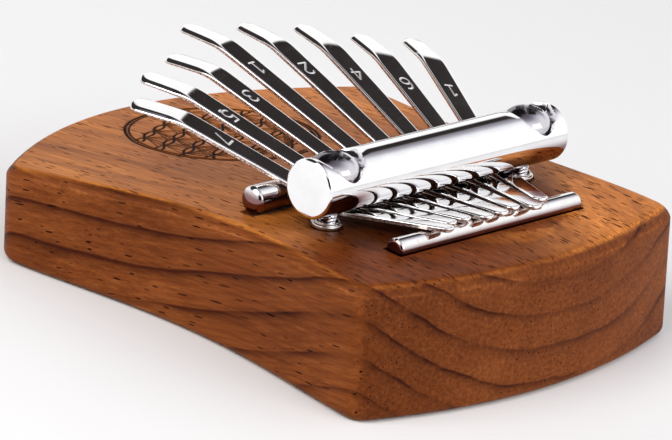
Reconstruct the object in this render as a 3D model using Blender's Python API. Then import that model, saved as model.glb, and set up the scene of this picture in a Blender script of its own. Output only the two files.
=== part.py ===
"""Solid-board kalimba (mbira) with eight fanned steel tines.

Wooden board with a flat underside and a bowed top, two bridge rods seated in
shallow grooves, a round clamp bar held by two cross-recess screws in threaded
inserts, and eight tines.  Each tine is a heel (the clamped part, from its end
behind the front rod up to the back rod) and a tongue (the free part that is
plucked).

Two frames are used.  The board frame has X along the clamp bar, +Y towards
the tine tips and its origin on the wood under the middle of the bar.  An
empty carries it into the part frame, where the underside lies on z = 0.
Lengths are in millimetres here and become metres through MM.
"""
import math

import bmesh
import bpy
from mathutils import Vector

MM = 0.001

# ---------------------------------------------------------------- dimensions
GAP = 0.30                    # clearance kept between touching pieces

# board
TILT = math.radians(7.446)    # underside against the board frame
NEAR_HALF = 46.9              # half width at the near corners
NEAR_Y = -25.45
FAR_HALF = 53.4               # half width at the far corners
FAR_Y = 65.9
WAIST = 5.5                   # how far the sides pull in between the corners
NEAR_BOW = 7.6                # how far the near end bulges out
FAR_BOW = 19.25               # how far the far end bulges out
TOP_SLOPE = 0.0815            # top surface: slope, curve and cubic term
TOP_CURVE = -0.00128
TOP_CUBIC = 6.7e-6
UNDER_Z = -26.34              # underside level below the bar
CORNER = 3.4                  # rounding of the upright corners
TOP_ROUND = 2.2               # rounding of the top edge
UNDER_ROUND = 1.8             # rounding of the bottom edge

# clamp bar
BAR_R = 6.0
BAR_LEN = 71.0
BAR_Z = 9.0
BAR_CHAMFER = 0.45
POCKET_R = 5.6
POCKET_FLOOR = 1.6            # above the bar's axis
BAR_HOLE_R = 2.35
CLAMP_TILT = math.radians(8.0)   # lean of the screws towards the heels

# bridge rods
FRONT_R = 2.23
FRONT_LEN = 54.0
FRONT_Y = -15.35
FRONT_Z = -1.05
BACK_R = 2.90
BACK_LEN = 73.5
BACK_Y = 14.35
BACK_Z = 3.48
BACK_DOME = 1.6

# screws and inserts
SCREW_X = 28.5
HEAD_R = 5.05
HEAD_TOP = 6.4                # above the bar's axis
SHANK_R = 2.0
SCREW_END = -19.5
RECESS = 2.95                 # half span of the cross recess
RECESS_W = 1.55
RECESS_DEEP = 2.2
FLANGE_R = 3.15
FLANGE_T = 0.95
COLLAR_R = 2.6
COLLAR_T = 0.45
BARREL_R = 2.7
SPOT_DEEP = 0.25              # spot face under the insert's flange
BARREL_LEN = 11.0

# tines
TINES = 8
TINE_T = 1.00
TINE_X = (-22.59, -16.60, -10.19, -4.05, 2.63, 9.24, 15.96, 22.53)   # under the bar
TINE_FAN = (-21.3, -15.64, -8.63, -3.2, 3.71, 10.42, 16.85, 24.5)    # degrees from +Y
TINE_RISE = 0.42              # rise over run between the bar and the tips
HEEL_END = (-19.8, -17.6, -17.5, -19.3, -19.2, -18.0, -20.1, -17.3)
HEEL_W = 3.3                  # width at the heel's end
TINE_W = 4.5                  # width from the bar on
TIP_W = 5.5 
TIP_BEND = 13.8               # length of the bent tip
TIP_ANGLE = (7.1, 8.35, 3.1, 6.5, 6.7, 9.7, 9.1, 5.7)              # degrees at the nose
TIP_KNEE = 0.36               # share of the tip that holds most of its bend
TONGUE_REACH = (47.3, 52.3, 55.8, 61.9, 59.0, 55.5, 50.8, 49.0)
EDGE = 0.25                   # chamfer along the tine edges

# part frame: where the board frame's origin stands
ORIGIN_Y = -23.935
ORIGIN_Z = -UNDER_Z * math.cos(TILT)

# ---------------------------------------------------------------- clean file
for ob in list(bpy.data.objects):
    bpy.data.objects.remove(ob, do_unlink=True)


# ---------------------------------------------------------------- helpers
def material(name, colour, roughness, metallic):
    mat = bpy.data.materials.new(name)
    mat.use_nodes = True
    bsdf = mat.node_tree.nodes["Principled BSDF"]
    bsdf.inputs["Base Color"].default_value = (*colour, 1.0)
    bsdf.inputs["Roughness"].default_value = roughness
    bsdf.inputs["Metallic"].default_value = metallic
    return mat


def add_mesh(name, verts, faces, mat=None, parent=None, smooth=None):
    mesh = bpy.data.meshes.new(name)
    mesh.from_pydata([Vector(v) * MM for v in verts], [], faces)
    bm = bmesh.new()
    bm.from_mesh(mesh)
    bmesh.ops.recalc_face_normals(bm, faces=bm.faces)
    bm.to_mesh(mesh)
    bm.free()
    ob = bpy.data.objects.new(name, mesh)
    bpy.context.collection.objects.link(ob)
    if mat:
        mesh.materials.append(mat)
    if parent:
        ob.parent = parent
    if smooth is not None:
        mesh.shade_smooth()
        mesh.set_sharp_from_angle(angle=math.radians(smooth))
    return ob


def place(ob, x=0.0, y=0.0, z=0.0):
    ob.location = (x * MM, y * MM, z * MM)
    return ob


def turned(profile, segments, axis="Z"):
    """Closed solid of revolution; profile runs (axial, radius) end to end.

    A profile that starts and ends on the axis is a plain solid, one that
    returns to its first point is a ring.
    """
    verts, faces, rings = [], [], []
    ring_shape = profile[0] == profile[-1]
    pts = profile[:-1] if ring_shape else profile
    for along, radius in pts:
        if radius < 1e-9:
            rings.append([len(verts)])
            verts.append((0.0, 0.0, along))
        else:
            rings.append([len(verts) + k for k in range(segments)])
            for k in range(segments):
                a = 2.0 * math.pi * k / segments
                verts.append((radius * math.cos(a), radius * math.sin(a), along))
    pairs = list(zip(rings, rings[1:]))
    if ring_shape:
        pairs.append((rings[-1], rings[0]))
    for lower, upper in pairs:
        for k in range(segments):
            n = (k + 1) % segments
            if len(lower) == 1:
                faces.append((lower[0], upper[n], upper[k]))
            elif len(upper) == 1:
                faces.append((lower[k], lower[n], upper[0]))
            else:
                faces.append((lower[k], lower[n], upper[n], upper[k]))
    if axis == "X":
        verts = [(v[2], v[0], v[1]) for v in verts]
    return verts, faces


def cut(ob, cutter, name):
    """Boolean difference with a guide object that is kept out of the model."""
    cutter.hide_render = True
    cutter.display_type = "WIRE"
    mod = ob.modifiers.new(name, "BOOLEAN")
    mod.operation = "DIFFERENCE"
    mod.object = cutter
    mod.solver = "EXACT"


# ---------------------------------------------------------------- materials
WOOD = material("oiled_hardwood", (0.36, 0.15, 0.06), 0.42, 0.0)
CHROME = material("polished_chrome", (0.83, 0.83, 0.84), 0.08, 1.0)
ROD_STEEL = material("plated_rod_steel", (0.80, 0.79, 0.79), 0.12, 1.0)
BACK_STEEL = material("plated_back_rod_steel", (0.80, 0.79, 0.79), 0.14, 1.0)
SCREW_STEEL = material("plated_screw_steel", (0.74, 0.73, 0.74), 0.16, 1.0)
INSERT_STEEL = material("plated_insert_steel", (0.68, 0.67, 0.68), 0.22, 1.0)
HEEL_STEEL = material("spring_steel_heel", (0.76, 0.76, 0.77), 0.15, 1.0)
TONGUE_STEEL = material("spring_steel_tongue", (0.78, 0.78, 0.79), 0.12, 1.0)

# ---------------------------------------------------------------- frames
board = bpy.data.objects.new("board_frame", None)
bpy.context.collection.objects.link(board)
board.location = (0.0, ORIGIN_Y * MM, ORIGIN_Z * MM)
board.rotation_euler = (-TILT, 0.0, 0.0)

# the clamp frame leans with the screws and has its origin on the bar axis
clamp = bpy.data.objects.new("clamp_frame", None)
bpy.context.collection.objects.link(clamp)
clamp.parent = board
clamp.location = (0.0, 0.0, BAR_Z * MM)
clamp.rotation_euler = (CLAMP_TILT, 0.0, 0.0)


# ---------------------------------------------------------------- board
def top_z(y):
    return TOP_SLOPE * y + TOP_CURVE * y * y + TOP_CUBIC * y ** 3


def under_z(y):
    return UNDER_Z + math.tan(TILT) * y


def side_half_width(y):
    t = (y - NEAR_Y) / (FAR_Y - NEAR_Y)
    pull = 0.25 * 4.0 * t * (1.0 - t) + 0.75 * 16.0 * (t * (1.0 - t)) ** 2
    return NEAR_HALF + (FAR_HALF - NEAR_HALF) * t - WAIST * pull


def near_y(x):
    return NEAR_Y - NEAR_BOW * (1.0 - (x / NEAR_HALF) ** 2)


def far_y(x):
    return FAR_Y + FAR_BOW * (1.0 - (x / FAR_HALF) ** 2)


def half_outline():
    """Right-hand half of the plan, from the near apex to the far apex."""
    pts = []
    x_in = NEAR_HALF - CORNER
    for k in range(11):
        x = x_in * k / 10
        pts.append((x, near_y(x)))
    start = Vector(pts[-1])
    y_a = NEAR_Y + CORNER
    end = Vector((side_half_width(y_a), y_a))
    knee = Vector((NEAR_HALF, NEAR_Y))
    for k in range(1, 5):
        t = k / 5
        pts.append(tuple((1 - t) ** 2 * start + 2 * t * (1 - t) * knee + t * t * end))
    y_b = FAR_Y - CORNER
    for k in range(21):
        y = y_a + (y_b - y_a) * k / 20
        pts.append((side_half_width(y), y))
    start = Vector(pts[-1])
    x_b = FAR_HALF - CORNER
    end = Vector((x_b, far_y(x_b)))
    knee = Vector((FAR_HALF, FAR_Y))
    for k in range(1, 5):
        t = k / 5
        pts.append(tuple((1 - t) ** 2 * start + 2 * t * (1 - t) * knee + t * t * end))
    for k in range(13):
        x = x_b * (1.0 - k / 12)
        pts.append((x, far_y(x)))
    return pts


def outline_normals(pts):
    """Outward normal in plan at each point; the apex normals lie on Y."""
    out = []
    for k, (x, y) in enumerate(pts):
        if k == 0:
            out.append((0.0, -1.0))
            continue
        if k == len(pts) - 1:
            out.append((0.0, 1.0))
            continue
        t = Vector(pts[k + 1]) - Vector(pts[k - 1])
        t.normalize()
        out.append((t.y, -t.x))
    return out


def build_board():
    half = half_outline()
    normals = outline_normals(half)
    count = len(half)
    sections = []
    steps = 3
    for k in range(steps + 1):              # bottom rounding
        a = math.pi / 2 * k / steps
        sections.append(("under", UNDER_ROUND * (1 - math.sin(a)), UNDER_ROUND * (1 - math.cos(a))))
    steps = 4
    for k in range(steps + 1):              # top rounding
        a = math.pi / 2 * k / steps
        sections.append(("top", TOP_ROUND * (1 - math.cos(a)), TOP_ROUND * (1 - math.sin(a))))
    verts, faces, rings = [], [], []
    for kind, inset, off in sections:
        right, left = [], []
        for (x, y), (nx, ny) in zip(half, normals):
            px, py = x - nx * inset, y - ny * inset
            z = under_z(py) + off if kind == "under" else top_z(py) - off
            right.append(len(verts))
            verts.append((px, py, z))
        left = [right[0]]
        for k in range(1, count - 1):
            left.append(len(verts))
            vx, vy, vz = verts[right[k]]
            verts.append((-vx, vy, vz))
        left.append(right[-1])
        rings.append((right, left))
    for (r0, l0), (r1, l1) in zip(rings, rings[1:]):
        for k in range(count - 1):
            faces.append((r0[k], r0[k + 1], r1[k + 1], r1[k]))
            faces.append((l0[k + 1], l0[k], l1[k], l1[k + 1]))
    # the underside is one flat face, the bowed top is a ladder of flat strips
    r, l = rings[0]
    faces.append(tuple(list(reversed(r)) + l[1:-1]))
    r, l = rings[-1]
    faces.append((r[0], r[1], l[1]))
    for k in range(1, count - 2):
        faces.append((r[k], r[k + 1], l[k + 1], l[k]))
    faces.append((r[-2], r[-1], l[-2]))
    return add_mesh("board_body", verts, faces, WOOD, board, smooth=35)


body = build_board()

# grooves for the two rods
v, f = turned([(-FRONT_LEN / 2 - 0.5, 0), (-FRONT_LEN / 2 - 0.5, FRONT_R + GAP),
               (FRONT_LEN / 2 + 0.5, FRONT_R + GAP), (FRONT_LEN / 2 + 0.5, 0)], 28, "X")
groove = place(add_mesh("cut_front_groove", v, f, parent=board), 0, FRONT_Y, FRONT_Z)
cut(body, groove, "front_groove")
v, f = turned([(-BACK_LEN / 2 - 0.5, 0), (-BACK_LEN / 2 - 0.5, BACK_R + GAP),
               (BACK_LEN / 2 + 0.5, BACK_R + GAP), (BACK_LEN / 2 + 0.5, 0)], 36, "X")
groove = place(add_mesh("cut_back_groove", v, f, parent=board), 0, BACK_Y, BACK_Z)
cut(body, groove, "back_groove")

# stepped bores for the threaded inserts, in line with the screws
LEAN = CLAMP_TILT - math.atan(TOP_SLOPE)
WOOD_LEVEL = -BAR_Z * math.cos(math.atan(TOP_SLOPE)) / math.cos(LEAN)   # wood in the clamp frame
SEAT = WOOD_LEVEL - SPOT_DEEP                           # floor of the spot face
for side, tag in ((-1, "left"), (1, "right")):
    v, f = turned([(SEAT - BARREL_LEN - 3.0, 0), (SEAT - BARREL_LEN - 3.0, BARREL_R + GAP),
                   (SEAT, BARREL_R + GAP), (SEAT, FLANGE_R + 0.4),
                   (SEAT + 4.0, FLANGE_R + 0.4), (SEAT + 4.0, 0)], 28)
    bore = place(add_mesh("cut_bore_" + tag, v, f, parent=clamp), side * SCREW_X)
    cut(body, bore, "bore_" + tag)

# ---------------------------------------------------------------- clamp bar
h = BAR_LEN / 2
v, f = turned([(-h, 0), (-h, BAR_R - BAR_CHAMFER), (-h + 0.15 * BAR_CHAMFER, BAR_R - 0.4 * BAR_CHAMFER),
               (-h + BAR_CHAMFER, BAR_R), (h - BAR_CHAMFER, BAR_R),
               (h - 0.15 * BAR_CHAMFER, BAR_R - 0.4 * BAR_CHAMFER), (h, BAR_R - BAR_CHAMFER), (h, 0)], 56, "X")
bar = add_mesh("clamp_bar", v, f, CHROME, clamp, smooth=30)
for side, tag in ((-1, "left"), (1, "right")):
    v, f = turned([(-BAR_R - 1.0, 0), (-BAR_R - 1.0, BAR_HOLE_R), (POCKET_FLOOR, BAR_HOLE_R),
                   (POCKET_FLOOR, POCKET_R), (BAR_R + 2.0, POCKET_R), (BAR_R + 2.0, 0)], 36)
    pocket = place(add_mesh("cut_pocket_" + tag, v, f, parent=clamp), side * SCREW_X)
    cut(bar, pocket, "pocket_" + tag)

# ---------------------------------------------------------------- bridge rods
h = FRONT_LEN / 2
v, f = turned([(-h, 0), (-h, FRONT_R - 0.5), (-h + 0.15, FRONT_R - 0.15), (-h + 0.5, FRONT_R),
               (h - 0.5, FRONT_R), (h - 0.15, FRONT_R - 0.15), (h, FRONT_R - 0.5), (h, 0)], 28, "X")
place(add_mesh("front_bridge_rod", v, f, ROD_STEEL, board, smooth=40), 0, FRONT_Y, FRONT_Z)

h = BACK_LEN / 2
dome = []
for k in range(5):
    a = math.pi / 2 * k / 5
    dome.append((h - BACK_DOME + BACK_DOME * math.cos(a), BACK_R * math.sin(a)))
dome.append((h - BACK_DOME, BACK_R))
profile = [(-x, r) for x, r in dome] + [(x, r) for x, r in reversed(dome)]
v, f = turned(profile, 32, "X")
place(add_mesh("back_bridge_rod", v, f, BACK_STEEL, board, smooth=50), 0, BACK_Y, BACK_Z)

# ---------------------------------------------------------------- screws, inserts
HEAD_UNDER = POCKET_FLOOR + GAP
for side, tag in ((-1, "left"), (1, "right")):
    profile = [(SCREW_END, 0), (SCREW_END, SHANK_R - 0.7), (SCREW_END + 0.9, SHANK_R),
               (HEAD_UNDER, SHANK_R), (HEAD_UNDER, HEAD_R - 0.25), (HEAD_UNDER + 0.3, HEAD_R),
               (HEAD_UNDER + 0.9, HEAD_R)]
    rise = HEAD_TOP - (HEAD_UNDER + 0.9)
    for k in range(1, 6):
        a = math.pi / 2 * k / 6
        profile.append((HEAD_UNDER + 0.9 + rise * math.sin(a), HEAD_R * math.cos(a)))
    profile.append((HEAD_TOP, 0))
    v, f = turned(profile, 32)
    screw = place(add_mesh("clamp_screw_" + tag, v, f, SCREW_STEEL, clamp, smooth=35), side * SCREW_X)
    # cross recess, narrowing towards its floor
    w, s, d = RECESS_W / 2, RECESS, RECESS_DEEP
    plus = [(s, -w), (s, w), (w, w), (w, s), (-w, s), (-w, w), (-s, w), (-s, -w), (-w, -w), (-w, -s), (w, -s), (w, -w)]
    turn = math.radians(20.0 if side < 0 else 52.0)
    c, n = math.cos(turn), math.sin(turn)
    rv = []
    for z, k in ((HEAD_TOP + 0.6, 1.0), (HEAD_TOP - d, 0.62)):
        for x, y in plus:
            x, y = (x * k if abs(x) > w + 1e-6 else x), (y * k if abs(y) > w + 1e-6 else y)
            rv.append((x * c - y * n, x * n + y * c, z))
    rf = [tuple(range(12)), tuple(reversed(range(12, 24)))]
    rf += [(k, (k + 1) % 12, 12 + (k + 1) % 12, 12 + k) for k in range(12)]
    recess = place(add_mesh("cut_recess_" + tag, rv, rf, parent=clamp), side * SCREW_X)
    cut(screw, recess, "recess_" + tag)

    bore_r = SHANK_R + GAP
    base = SEAT + GAP
    profile = [(base - BARREL_LEN, bore_r), (base - BARREL_LEN, BARREL_R - 0.25), (base - BARREL_LEN + 0.25, BARREL_R),
               (base, BARREL_R), (base, FLANGE_R - 0.2), (base + 0.2, FLANGE_R), (base + FLANGE_T - 0.3, FLANGE_R),
               (base + FLANGE_T, FLANGE_R - 0.3), (base + FLANGE_T, COLLAR_R),
               (base + FLANGE_T + COLLAR_T - 0.2, COLLAR_R), (base + FLANGE_T + COLLAR_T, COLLAR_R - 0.2),
               (base + FLANGE_T + COLLAR_T, bore_r), (base - BARREL_LEN, bore_r)]
    v, f = turned(profile, 24)
    place(add_mesh("threaded_insert_" + tag, v, f, INSERT_STEEL, clamp, smooth=35), side * SCREW_X)


# ---------------------------------------------------------------- tines
WRAP = BAR_R + GAP + TINE_T / 2          # bend of the tine's middle round the bar
RISE = math.atan(TINE_RISE)
HEEL_MID = FRONT_Z + FRONT_R + GAP + TINE_T / 2
HEEL_SLOPE = (BAR_Z - WRAP - HEEL_MID) / -FRONT_Y


def middle_z(y):
    """Height of the tine's middle before the bent tip."""
    y_a = WRAP * math.sin(math.atan(HEEL_SLOPE))
    y_b = WRAP * math.sin(RISE)
    if y < y_a:
        return BAR_Z - math.sqrt(WRAP ** 2 - y_a ** 2) + HEEL_SLOPE * (y - y_a)
    if y > y_b:
        return BAR_Z - math.sqrt(WRAP ** 2 - y_b ** 2) + TINE_RISE * (y - y_b)
    return BAR_Z - math.sqrt(WRAP ** 2 - y * y)


def strip(name, stations, mat, lean, smooth=35):
    """Flat bar swept along stations of (run, height, slope angle, half width).

    lean(run, w) is the extra height at the distance w from the centre line.
    The bends run parallel to the bar, so a fanned tine also leans sideways.
    """
    t = TINE_T / 2
    verts, faces = [], []
    for run, height, slope, hw in stations:
        c, s = math.cos(slope), math.sin(slope)
        e = min(EDGE, hw * 0.4)
        for wx, tz in ((-hw, -t + e), (-hw + e, -t), (hw - e, -t), (hw, -t + e),
                       (hw, t - e), (hw - e, t), (-hw + e, t), (-hw, t - e)):
            verts.append((wx, run - s * tz, height + c * tz + lean(run, wx)))
    for k in range(len(stations) - 1):
        a, b = 8 * k, 8 * (k + 1)
        for j in range(8):
            n = (j + 1) % 8
            faces.append((a + j, a + n, b + n, b + j))
    faces.append(tuple(reversed(range(8))))
    faces.append(tuple(range(8 * (len(stations) - 1), 8 * len(stations))))
    return add_mesh(name, verts, faces, mat, smooth=smooth)


def bend_share(t):
    """Share of the tip's bend reached at t: a knee first, then nearly straight."""
    if t < TIP_KNEE:
        return 0.85 * (0.5 - 0.5 * math.cos(math.pi * t / TIP_KNEE))
    return 0.85 + 0.15 * (t - TIP_KNEE) / (1.0 - TIP_KNEE)


# the free part starts where the underside meets the back rod
PIVOT_Y = BACK_Y - BACK_R * math.sin(RISE)
SPLIT_Y = PIVOT_Y

for i in range(TINES):
    fan = math.radians(TINE_FAN[i])
    base_x = TINE_X[i]
    heel_end = HEEL_END[i]
    tip_angle = math.radians(TIP_ANGLE[i])
    ca, sa = math.cos(fan), math.sin(fan)
    tag = "tine_%d" % (i + 1)

    def width(y):
        if y < 0:
            return HEEL_W + (TINE_W - HEEL_W) * (y - heel_end) / -heel_end
        return TINE_W

    # heel: rounded end, clamped run, bend under the bar, rise to the back rod
    stations = []
    end = heel_end
    ys = [end + HEEL_W / 2 * (1 - math.cos(math.radians(a))) for a in (8, 30, 55, 90)]
    ys += [-12.0, -7.0, -3.2, -1.9, -1.0, -0.4, 0.2, 0.8, 1.4, 2.1, WRAP * math.sin(RISE), 3.5, 6.0, SPLIT_Y - GAP * math.cos(RISE)]
    for y in ys:
        hw = width(y) / 2
        d = y - end
        if d < HEEL_W / 2:
            hw *= math.sqrt(max(0.0, 1 - (1 - d / (HEEL_W / 2)) ** 2))
        slope = math.atan((middle_z(y + 0.01) - middle_z(y - 0.01)) / 0.02 * ca)
        stations.append((y / ca, middle_z(y), slope, hw))
    heel = strip(tag + "_heel", stations, HEEL_STEEL,
                 lambda run, w: middle_z(run * ca - w * sa) - middle_z(run * ca))
    heel.parent = board
    place(heel, base_x)
    heel.rotation_euler = (0.0, 0.0, -fan)

    # tongue: straight run, then the tip bends over and ends in a round nose
    reach = TONGUE_REACH[i]
    run0 = SPLIT_Y / ca
    slope0 = math.atan(TINE_RISE * ca)
    pivot_h = middle_z(SPLIT_Y) - TINE_T / 2 * math.cos(slope0)
    pivot_run = run0 + TINE_T / 2 * math.sin(slope0)
    bend_run = reach - TIP_BEND * 0.97
    nose = TIP_W / 2
    path = [(run0, middle_z(SPLIT_Y), slope0)]
    for j in range(1, 4):
        run = run0 + (bend_run - run0) * j / 3
        path.append((run, middle_z(run * ca), slope0))
    run, height = path[-1][0], path[-1][1]
    steps = 12
    arc = TIP_BEND / steps
    for j in range(steps):
        a = slope0 + (tip_angle - slope0) * bend_share((j + 0.5) / steps)
        run += arc * math.cos(a)
        height += arc * math.sin(a)
        path.append((run, height, slope0 + (tip_angle - slope0) * bend_share((j + 1) / steps)))
    last_run = path[-1][0]
    stations = []
    for run, height, slope in path:
        d = last_run - run
        hw = (TINE_W + (TIP_W - TINE_W) * max(0.0, min(1.0, (run - run0) / (last_run - run0)))) / 2
        if d < nose:
            hw *= max(0.22, math.sqrt(max(0.0, 1 - (1 - d / nose) ** 2)))
        stations.append((run - pivot_run, height - pivot_h, slope, hw))
    # the round nose needs closer stations than the bend itself
    fine = []
    for (r0, h0, s0, w0), (r1, h1, s1, w1) in zip(stations, stations[1:]):
        fine.append((r0, h0, s0, w0))
        if last_run - pivot_run - r1 < nose - 0.05:
            r, hh, ss = (r0 + r1) / 2, (h0 + h1) / 2, (s0 + s1) / 2
            d = last_run - pivot_run - r
            w = TIP_W / 2 * (math.sqrt(max(0.0, 1 - (1 - d / nose) ** 2)) if d < nose else 1.0)
            fine.append((r, hh, ss, w))
    fine.append(stations[-1])
    tongue = strip(tag + "_tongue", fine, TONGUE_STEEL, lambda run, w: -TINE_RISE * sa * w)
    tongue.parent = heel
    place(tongue, 0.0, pivot_run, pivot_h)

bpy.context.view_layer.update()
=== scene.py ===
"""Looks of the mbira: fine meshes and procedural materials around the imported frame."""

import math

import bmesh
import bpy
import numpy as np
from mathutils import Matrix, Vector


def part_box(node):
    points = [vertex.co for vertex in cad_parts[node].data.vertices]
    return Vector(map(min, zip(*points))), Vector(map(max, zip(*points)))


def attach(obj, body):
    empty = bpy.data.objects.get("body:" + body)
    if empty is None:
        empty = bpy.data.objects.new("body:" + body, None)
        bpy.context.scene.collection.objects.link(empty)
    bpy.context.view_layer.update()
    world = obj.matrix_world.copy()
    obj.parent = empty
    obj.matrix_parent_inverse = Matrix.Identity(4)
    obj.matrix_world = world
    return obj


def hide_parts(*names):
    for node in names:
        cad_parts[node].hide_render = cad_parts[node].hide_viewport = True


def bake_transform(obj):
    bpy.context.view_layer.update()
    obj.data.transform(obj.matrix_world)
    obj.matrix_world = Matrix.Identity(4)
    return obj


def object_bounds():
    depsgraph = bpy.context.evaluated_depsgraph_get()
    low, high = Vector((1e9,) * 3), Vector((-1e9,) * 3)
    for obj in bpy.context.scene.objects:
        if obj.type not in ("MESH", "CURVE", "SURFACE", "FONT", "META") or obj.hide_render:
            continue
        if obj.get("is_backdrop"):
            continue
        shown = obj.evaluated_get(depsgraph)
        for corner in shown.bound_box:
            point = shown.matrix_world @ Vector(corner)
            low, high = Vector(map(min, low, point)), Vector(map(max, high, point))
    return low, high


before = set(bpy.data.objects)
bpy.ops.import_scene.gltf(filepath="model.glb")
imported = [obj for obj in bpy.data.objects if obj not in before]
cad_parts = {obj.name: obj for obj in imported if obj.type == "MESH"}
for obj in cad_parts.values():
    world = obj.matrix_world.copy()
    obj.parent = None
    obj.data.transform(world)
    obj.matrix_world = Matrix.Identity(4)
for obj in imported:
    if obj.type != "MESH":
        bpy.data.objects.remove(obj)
CAD_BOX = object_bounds()
MM = 0.001

# ------------------------------------------------------------------ board frame
# The board frame has X along the bar, +Y towards the tine tips and its origin on
# the wood under the bar.  The boxes of the bar and of the two rods place it.
BAR_Z, FRONT_Y, FRONT_Z, BACK_Y, BACK_Z = 9.0, -15.35, -1.05, 14.35, 3.48


def centre(node):
    lo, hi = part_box(node)
    return (lo + hi) / 2 / MM


c_front, c_back, c_bar = centre("front_bridge_rod"), centre("back_bridge_rod"), centre("clamp_bar")
across = c_back - c_front
TILT = math.atan2(BACK_Z - FRONT_Z, BACK_Y - FRONT_Y) - math.atan2(across.z, across.y)
cT, sT = math.cos(TILT), math.sin(TILT)
ORG = np.array([0.0, c_bar.y - BAR_Z * sT, c_bar.z - BAR_Z * cT])
CLAMP = math.radians(8.0)
cC, sC = math.cos(CLAMP), math.sin(CLAMP)


def board_to_world(p):
    """Points of the board frame in millimetres to the row frame in metres."""
    p = np.atleast_2d(np.asarray(p, float))
    return np.stack([p[:, 0], p[:, 1] * cT + p[:, 2] * sT + ORG[1],
                     -p[:, 1] * sT + p[:, 2] * cT + ORG[2]], 1) * MM


def world_to_board(p):
    p = np.atleast_2d(np.asarray(p, float)) / MM - ORG
    return np.stack([p[:, 0], p[:, 1] * cT - p[:, 2] * sT, p[:, 1] * sT + p[:, 2] * cT], 1)


def clamp_to_board(p, x=0.0):
    """Points of the leaning clamp frame, whose origin is on the bar's axis."""
    p = np.atleast_2d(np.asarray(p, float))
    return np.stack([p[:, 0] + x, p[:, 1] * cC - p[:, 2] * sC, p[:, 1] * sC + p[:, 2] * cC + BAR_Z], 1)


# ------------------------------------------------------------------ mesh helpers
def add_mesh(name, pts, faces, mats=(), smooth=None):
    """pts in metres in the row frame."""
    me = bpy.data.meshes.new(name)
    me.from_pydata(np.asarray(pts, float).tolist(), [], faces)
    me.update()
    ob = bpy.data.objects.new(name, me)
    bpy.context.scene.collection.objects.link(ob)
    for m in mats:
        me.materials.append(m)
    if smooth is not None:
        me.shade_smooth()
        me.set_sharp_from_angle(angle=math.radians(smooth))
    return ob


def face_out(ob):
    bm = bmesh.new()
    bm.from_mesh(ob.data)
    bmesh.ops.recalc_face_normals(bm, faces=bm.faces)
    bm.to_mesh(ob.data)
    bm.free()


def attribute(ob, name, values):
    a = ob.data.attributes.get(name) or ob.data.attributes.new(name, "FLOAT", "POINT")
    a.data.foreach_set("value", np.asarray(values, np.float32))


def coords(ob):
    co = np.zeros(len(ob.data.vertices) * 3)
    ob.data.vertices.foreach_get("co", co)
    return co.reshape(-1, 3)


def set_coords(ob, co):
    ob.data.vertices.foreach_set("co", np.asarray(co, float).ravel())
    ob.data.update()


def lathe(profile, segments, axis="Z", twist=None):
    """Closed turned solid; profile runs (axial, radius). twist(z, angle, r) may change r."""
    prof = [(float(a), float(r)) for a, r in profile]
    ring = prof[0] == prof[-1]
    if ring:
        prof = prof[:-1]
    verts, rings, faces = [], [], []
    for a, r in prof:
        if r < 1e-9:
            rings.append([len(verts)])
            verts.append((0, 0, a))
        else:
            rings.append(list(range(len(verts), len(verts) + segments)))
            for k in range(segments):
                t = 2 * math.pi * k / segments
                q = r if twist is None else twist(a, t, r)
                verts.append((q * math.cos(t), q * math.sin(t), a))
    pairs = list(zip(rings, rings[1:])) + ([(rings[-1], rings[0])] if ring else [])
    for lo, up in pairs:
        for k in range(segments):
            n = (k + 1) % segments
            if len(lo) == 1 and len(up) == 1:
                continue
            if len(lo) == 1:
                faces.append((lo[0], up[n], up[k]))
            elif len(up) == 1:
                faces.append((lo[k], lo[n], up[0]))
            else:
                faces.append((lo[k], lo[n], up[n], up[k]))
    v = np.array(verts, float)
    if axis == "X":
        v = v[:, [2, 0, 1]]
    return v, faces


def rounded(points, radii, steps=5):
    """Polyline with the given corners replaced by arcs (quadratic blends)."""
    out = [points[0]]
    for k in range(1, len(points) - 1):
        p0, p1, p2 = (np.array(points[k + j], float) for j in (-1, 0, 1))
        r = radii[k] if k < len(radii) else 0.0
        if r <= 0:
            out.append(tuple(p1))
            continue
        a, b = p0 - p1, p2 - p1
        la, lb = np.linalg.norm(a), np.linalg.norm(b)
        r = min(r, la * 0.49, lb * 0.49)
        s, e = p1 + a / la * r, p1 + b / lb * r
        for j in range(steps + 1):
            t = j / steps
            out.append(tuple((1 - t) ** 2 * s + 2 * t * (1 - t) * p1 + t * t * e))
    out.append(points[-1])
    return out


def boolean(ob, cutter, keep_cutter=False):
    mod = ob.modifiers.new("cut", "BOOLEAN")
    mod.operation, mod.object, mod.solver = "DIFFERENCE", cutter, "EXACT"
    dg = bpy.context.evaluated_depsgraph_get()
    me = bpy.data.meshes.new_from_object(ob.evaluated_get(dg))
    ob.modifiers.clear()
    old, name = ob.data, ob.data.name
    ob.data = me
    bpy.data.meshes.remove(old)
    me.name = name
    if not keep_cutter:
        m = cutter.data
        bpy.data.objects.remove(cutter, do_unlink=True)
        bpy.data.meshes.remove(m)


def bevel_edges(ob, width, segments, angle, limit=None):
    """Rounds the sharp edges of a solid; the result is applied to the mesh."""
    mod = ob.modifiers.new("soft_edges", "BEVEL")
    mod.width, mod.segments, mod.limit_method = width, segments, "ANGLE"
    mod.angle_limit = math.radians(angle)
    mod.use_clamp_overlap = True
    mod.miter_outer = "MITER_ARC"
    dg = bpy.context.evaluated_depsgraph_get()
    me = bpy.data.meshes.new_from_object(ob.evaluated_get(dg))
    ob.modifiers.clear()
    old, name = ob.data, ob.data.name
    ob.data = me
    bpy.data.meshes.remove(old)
    me.name = name


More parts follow.
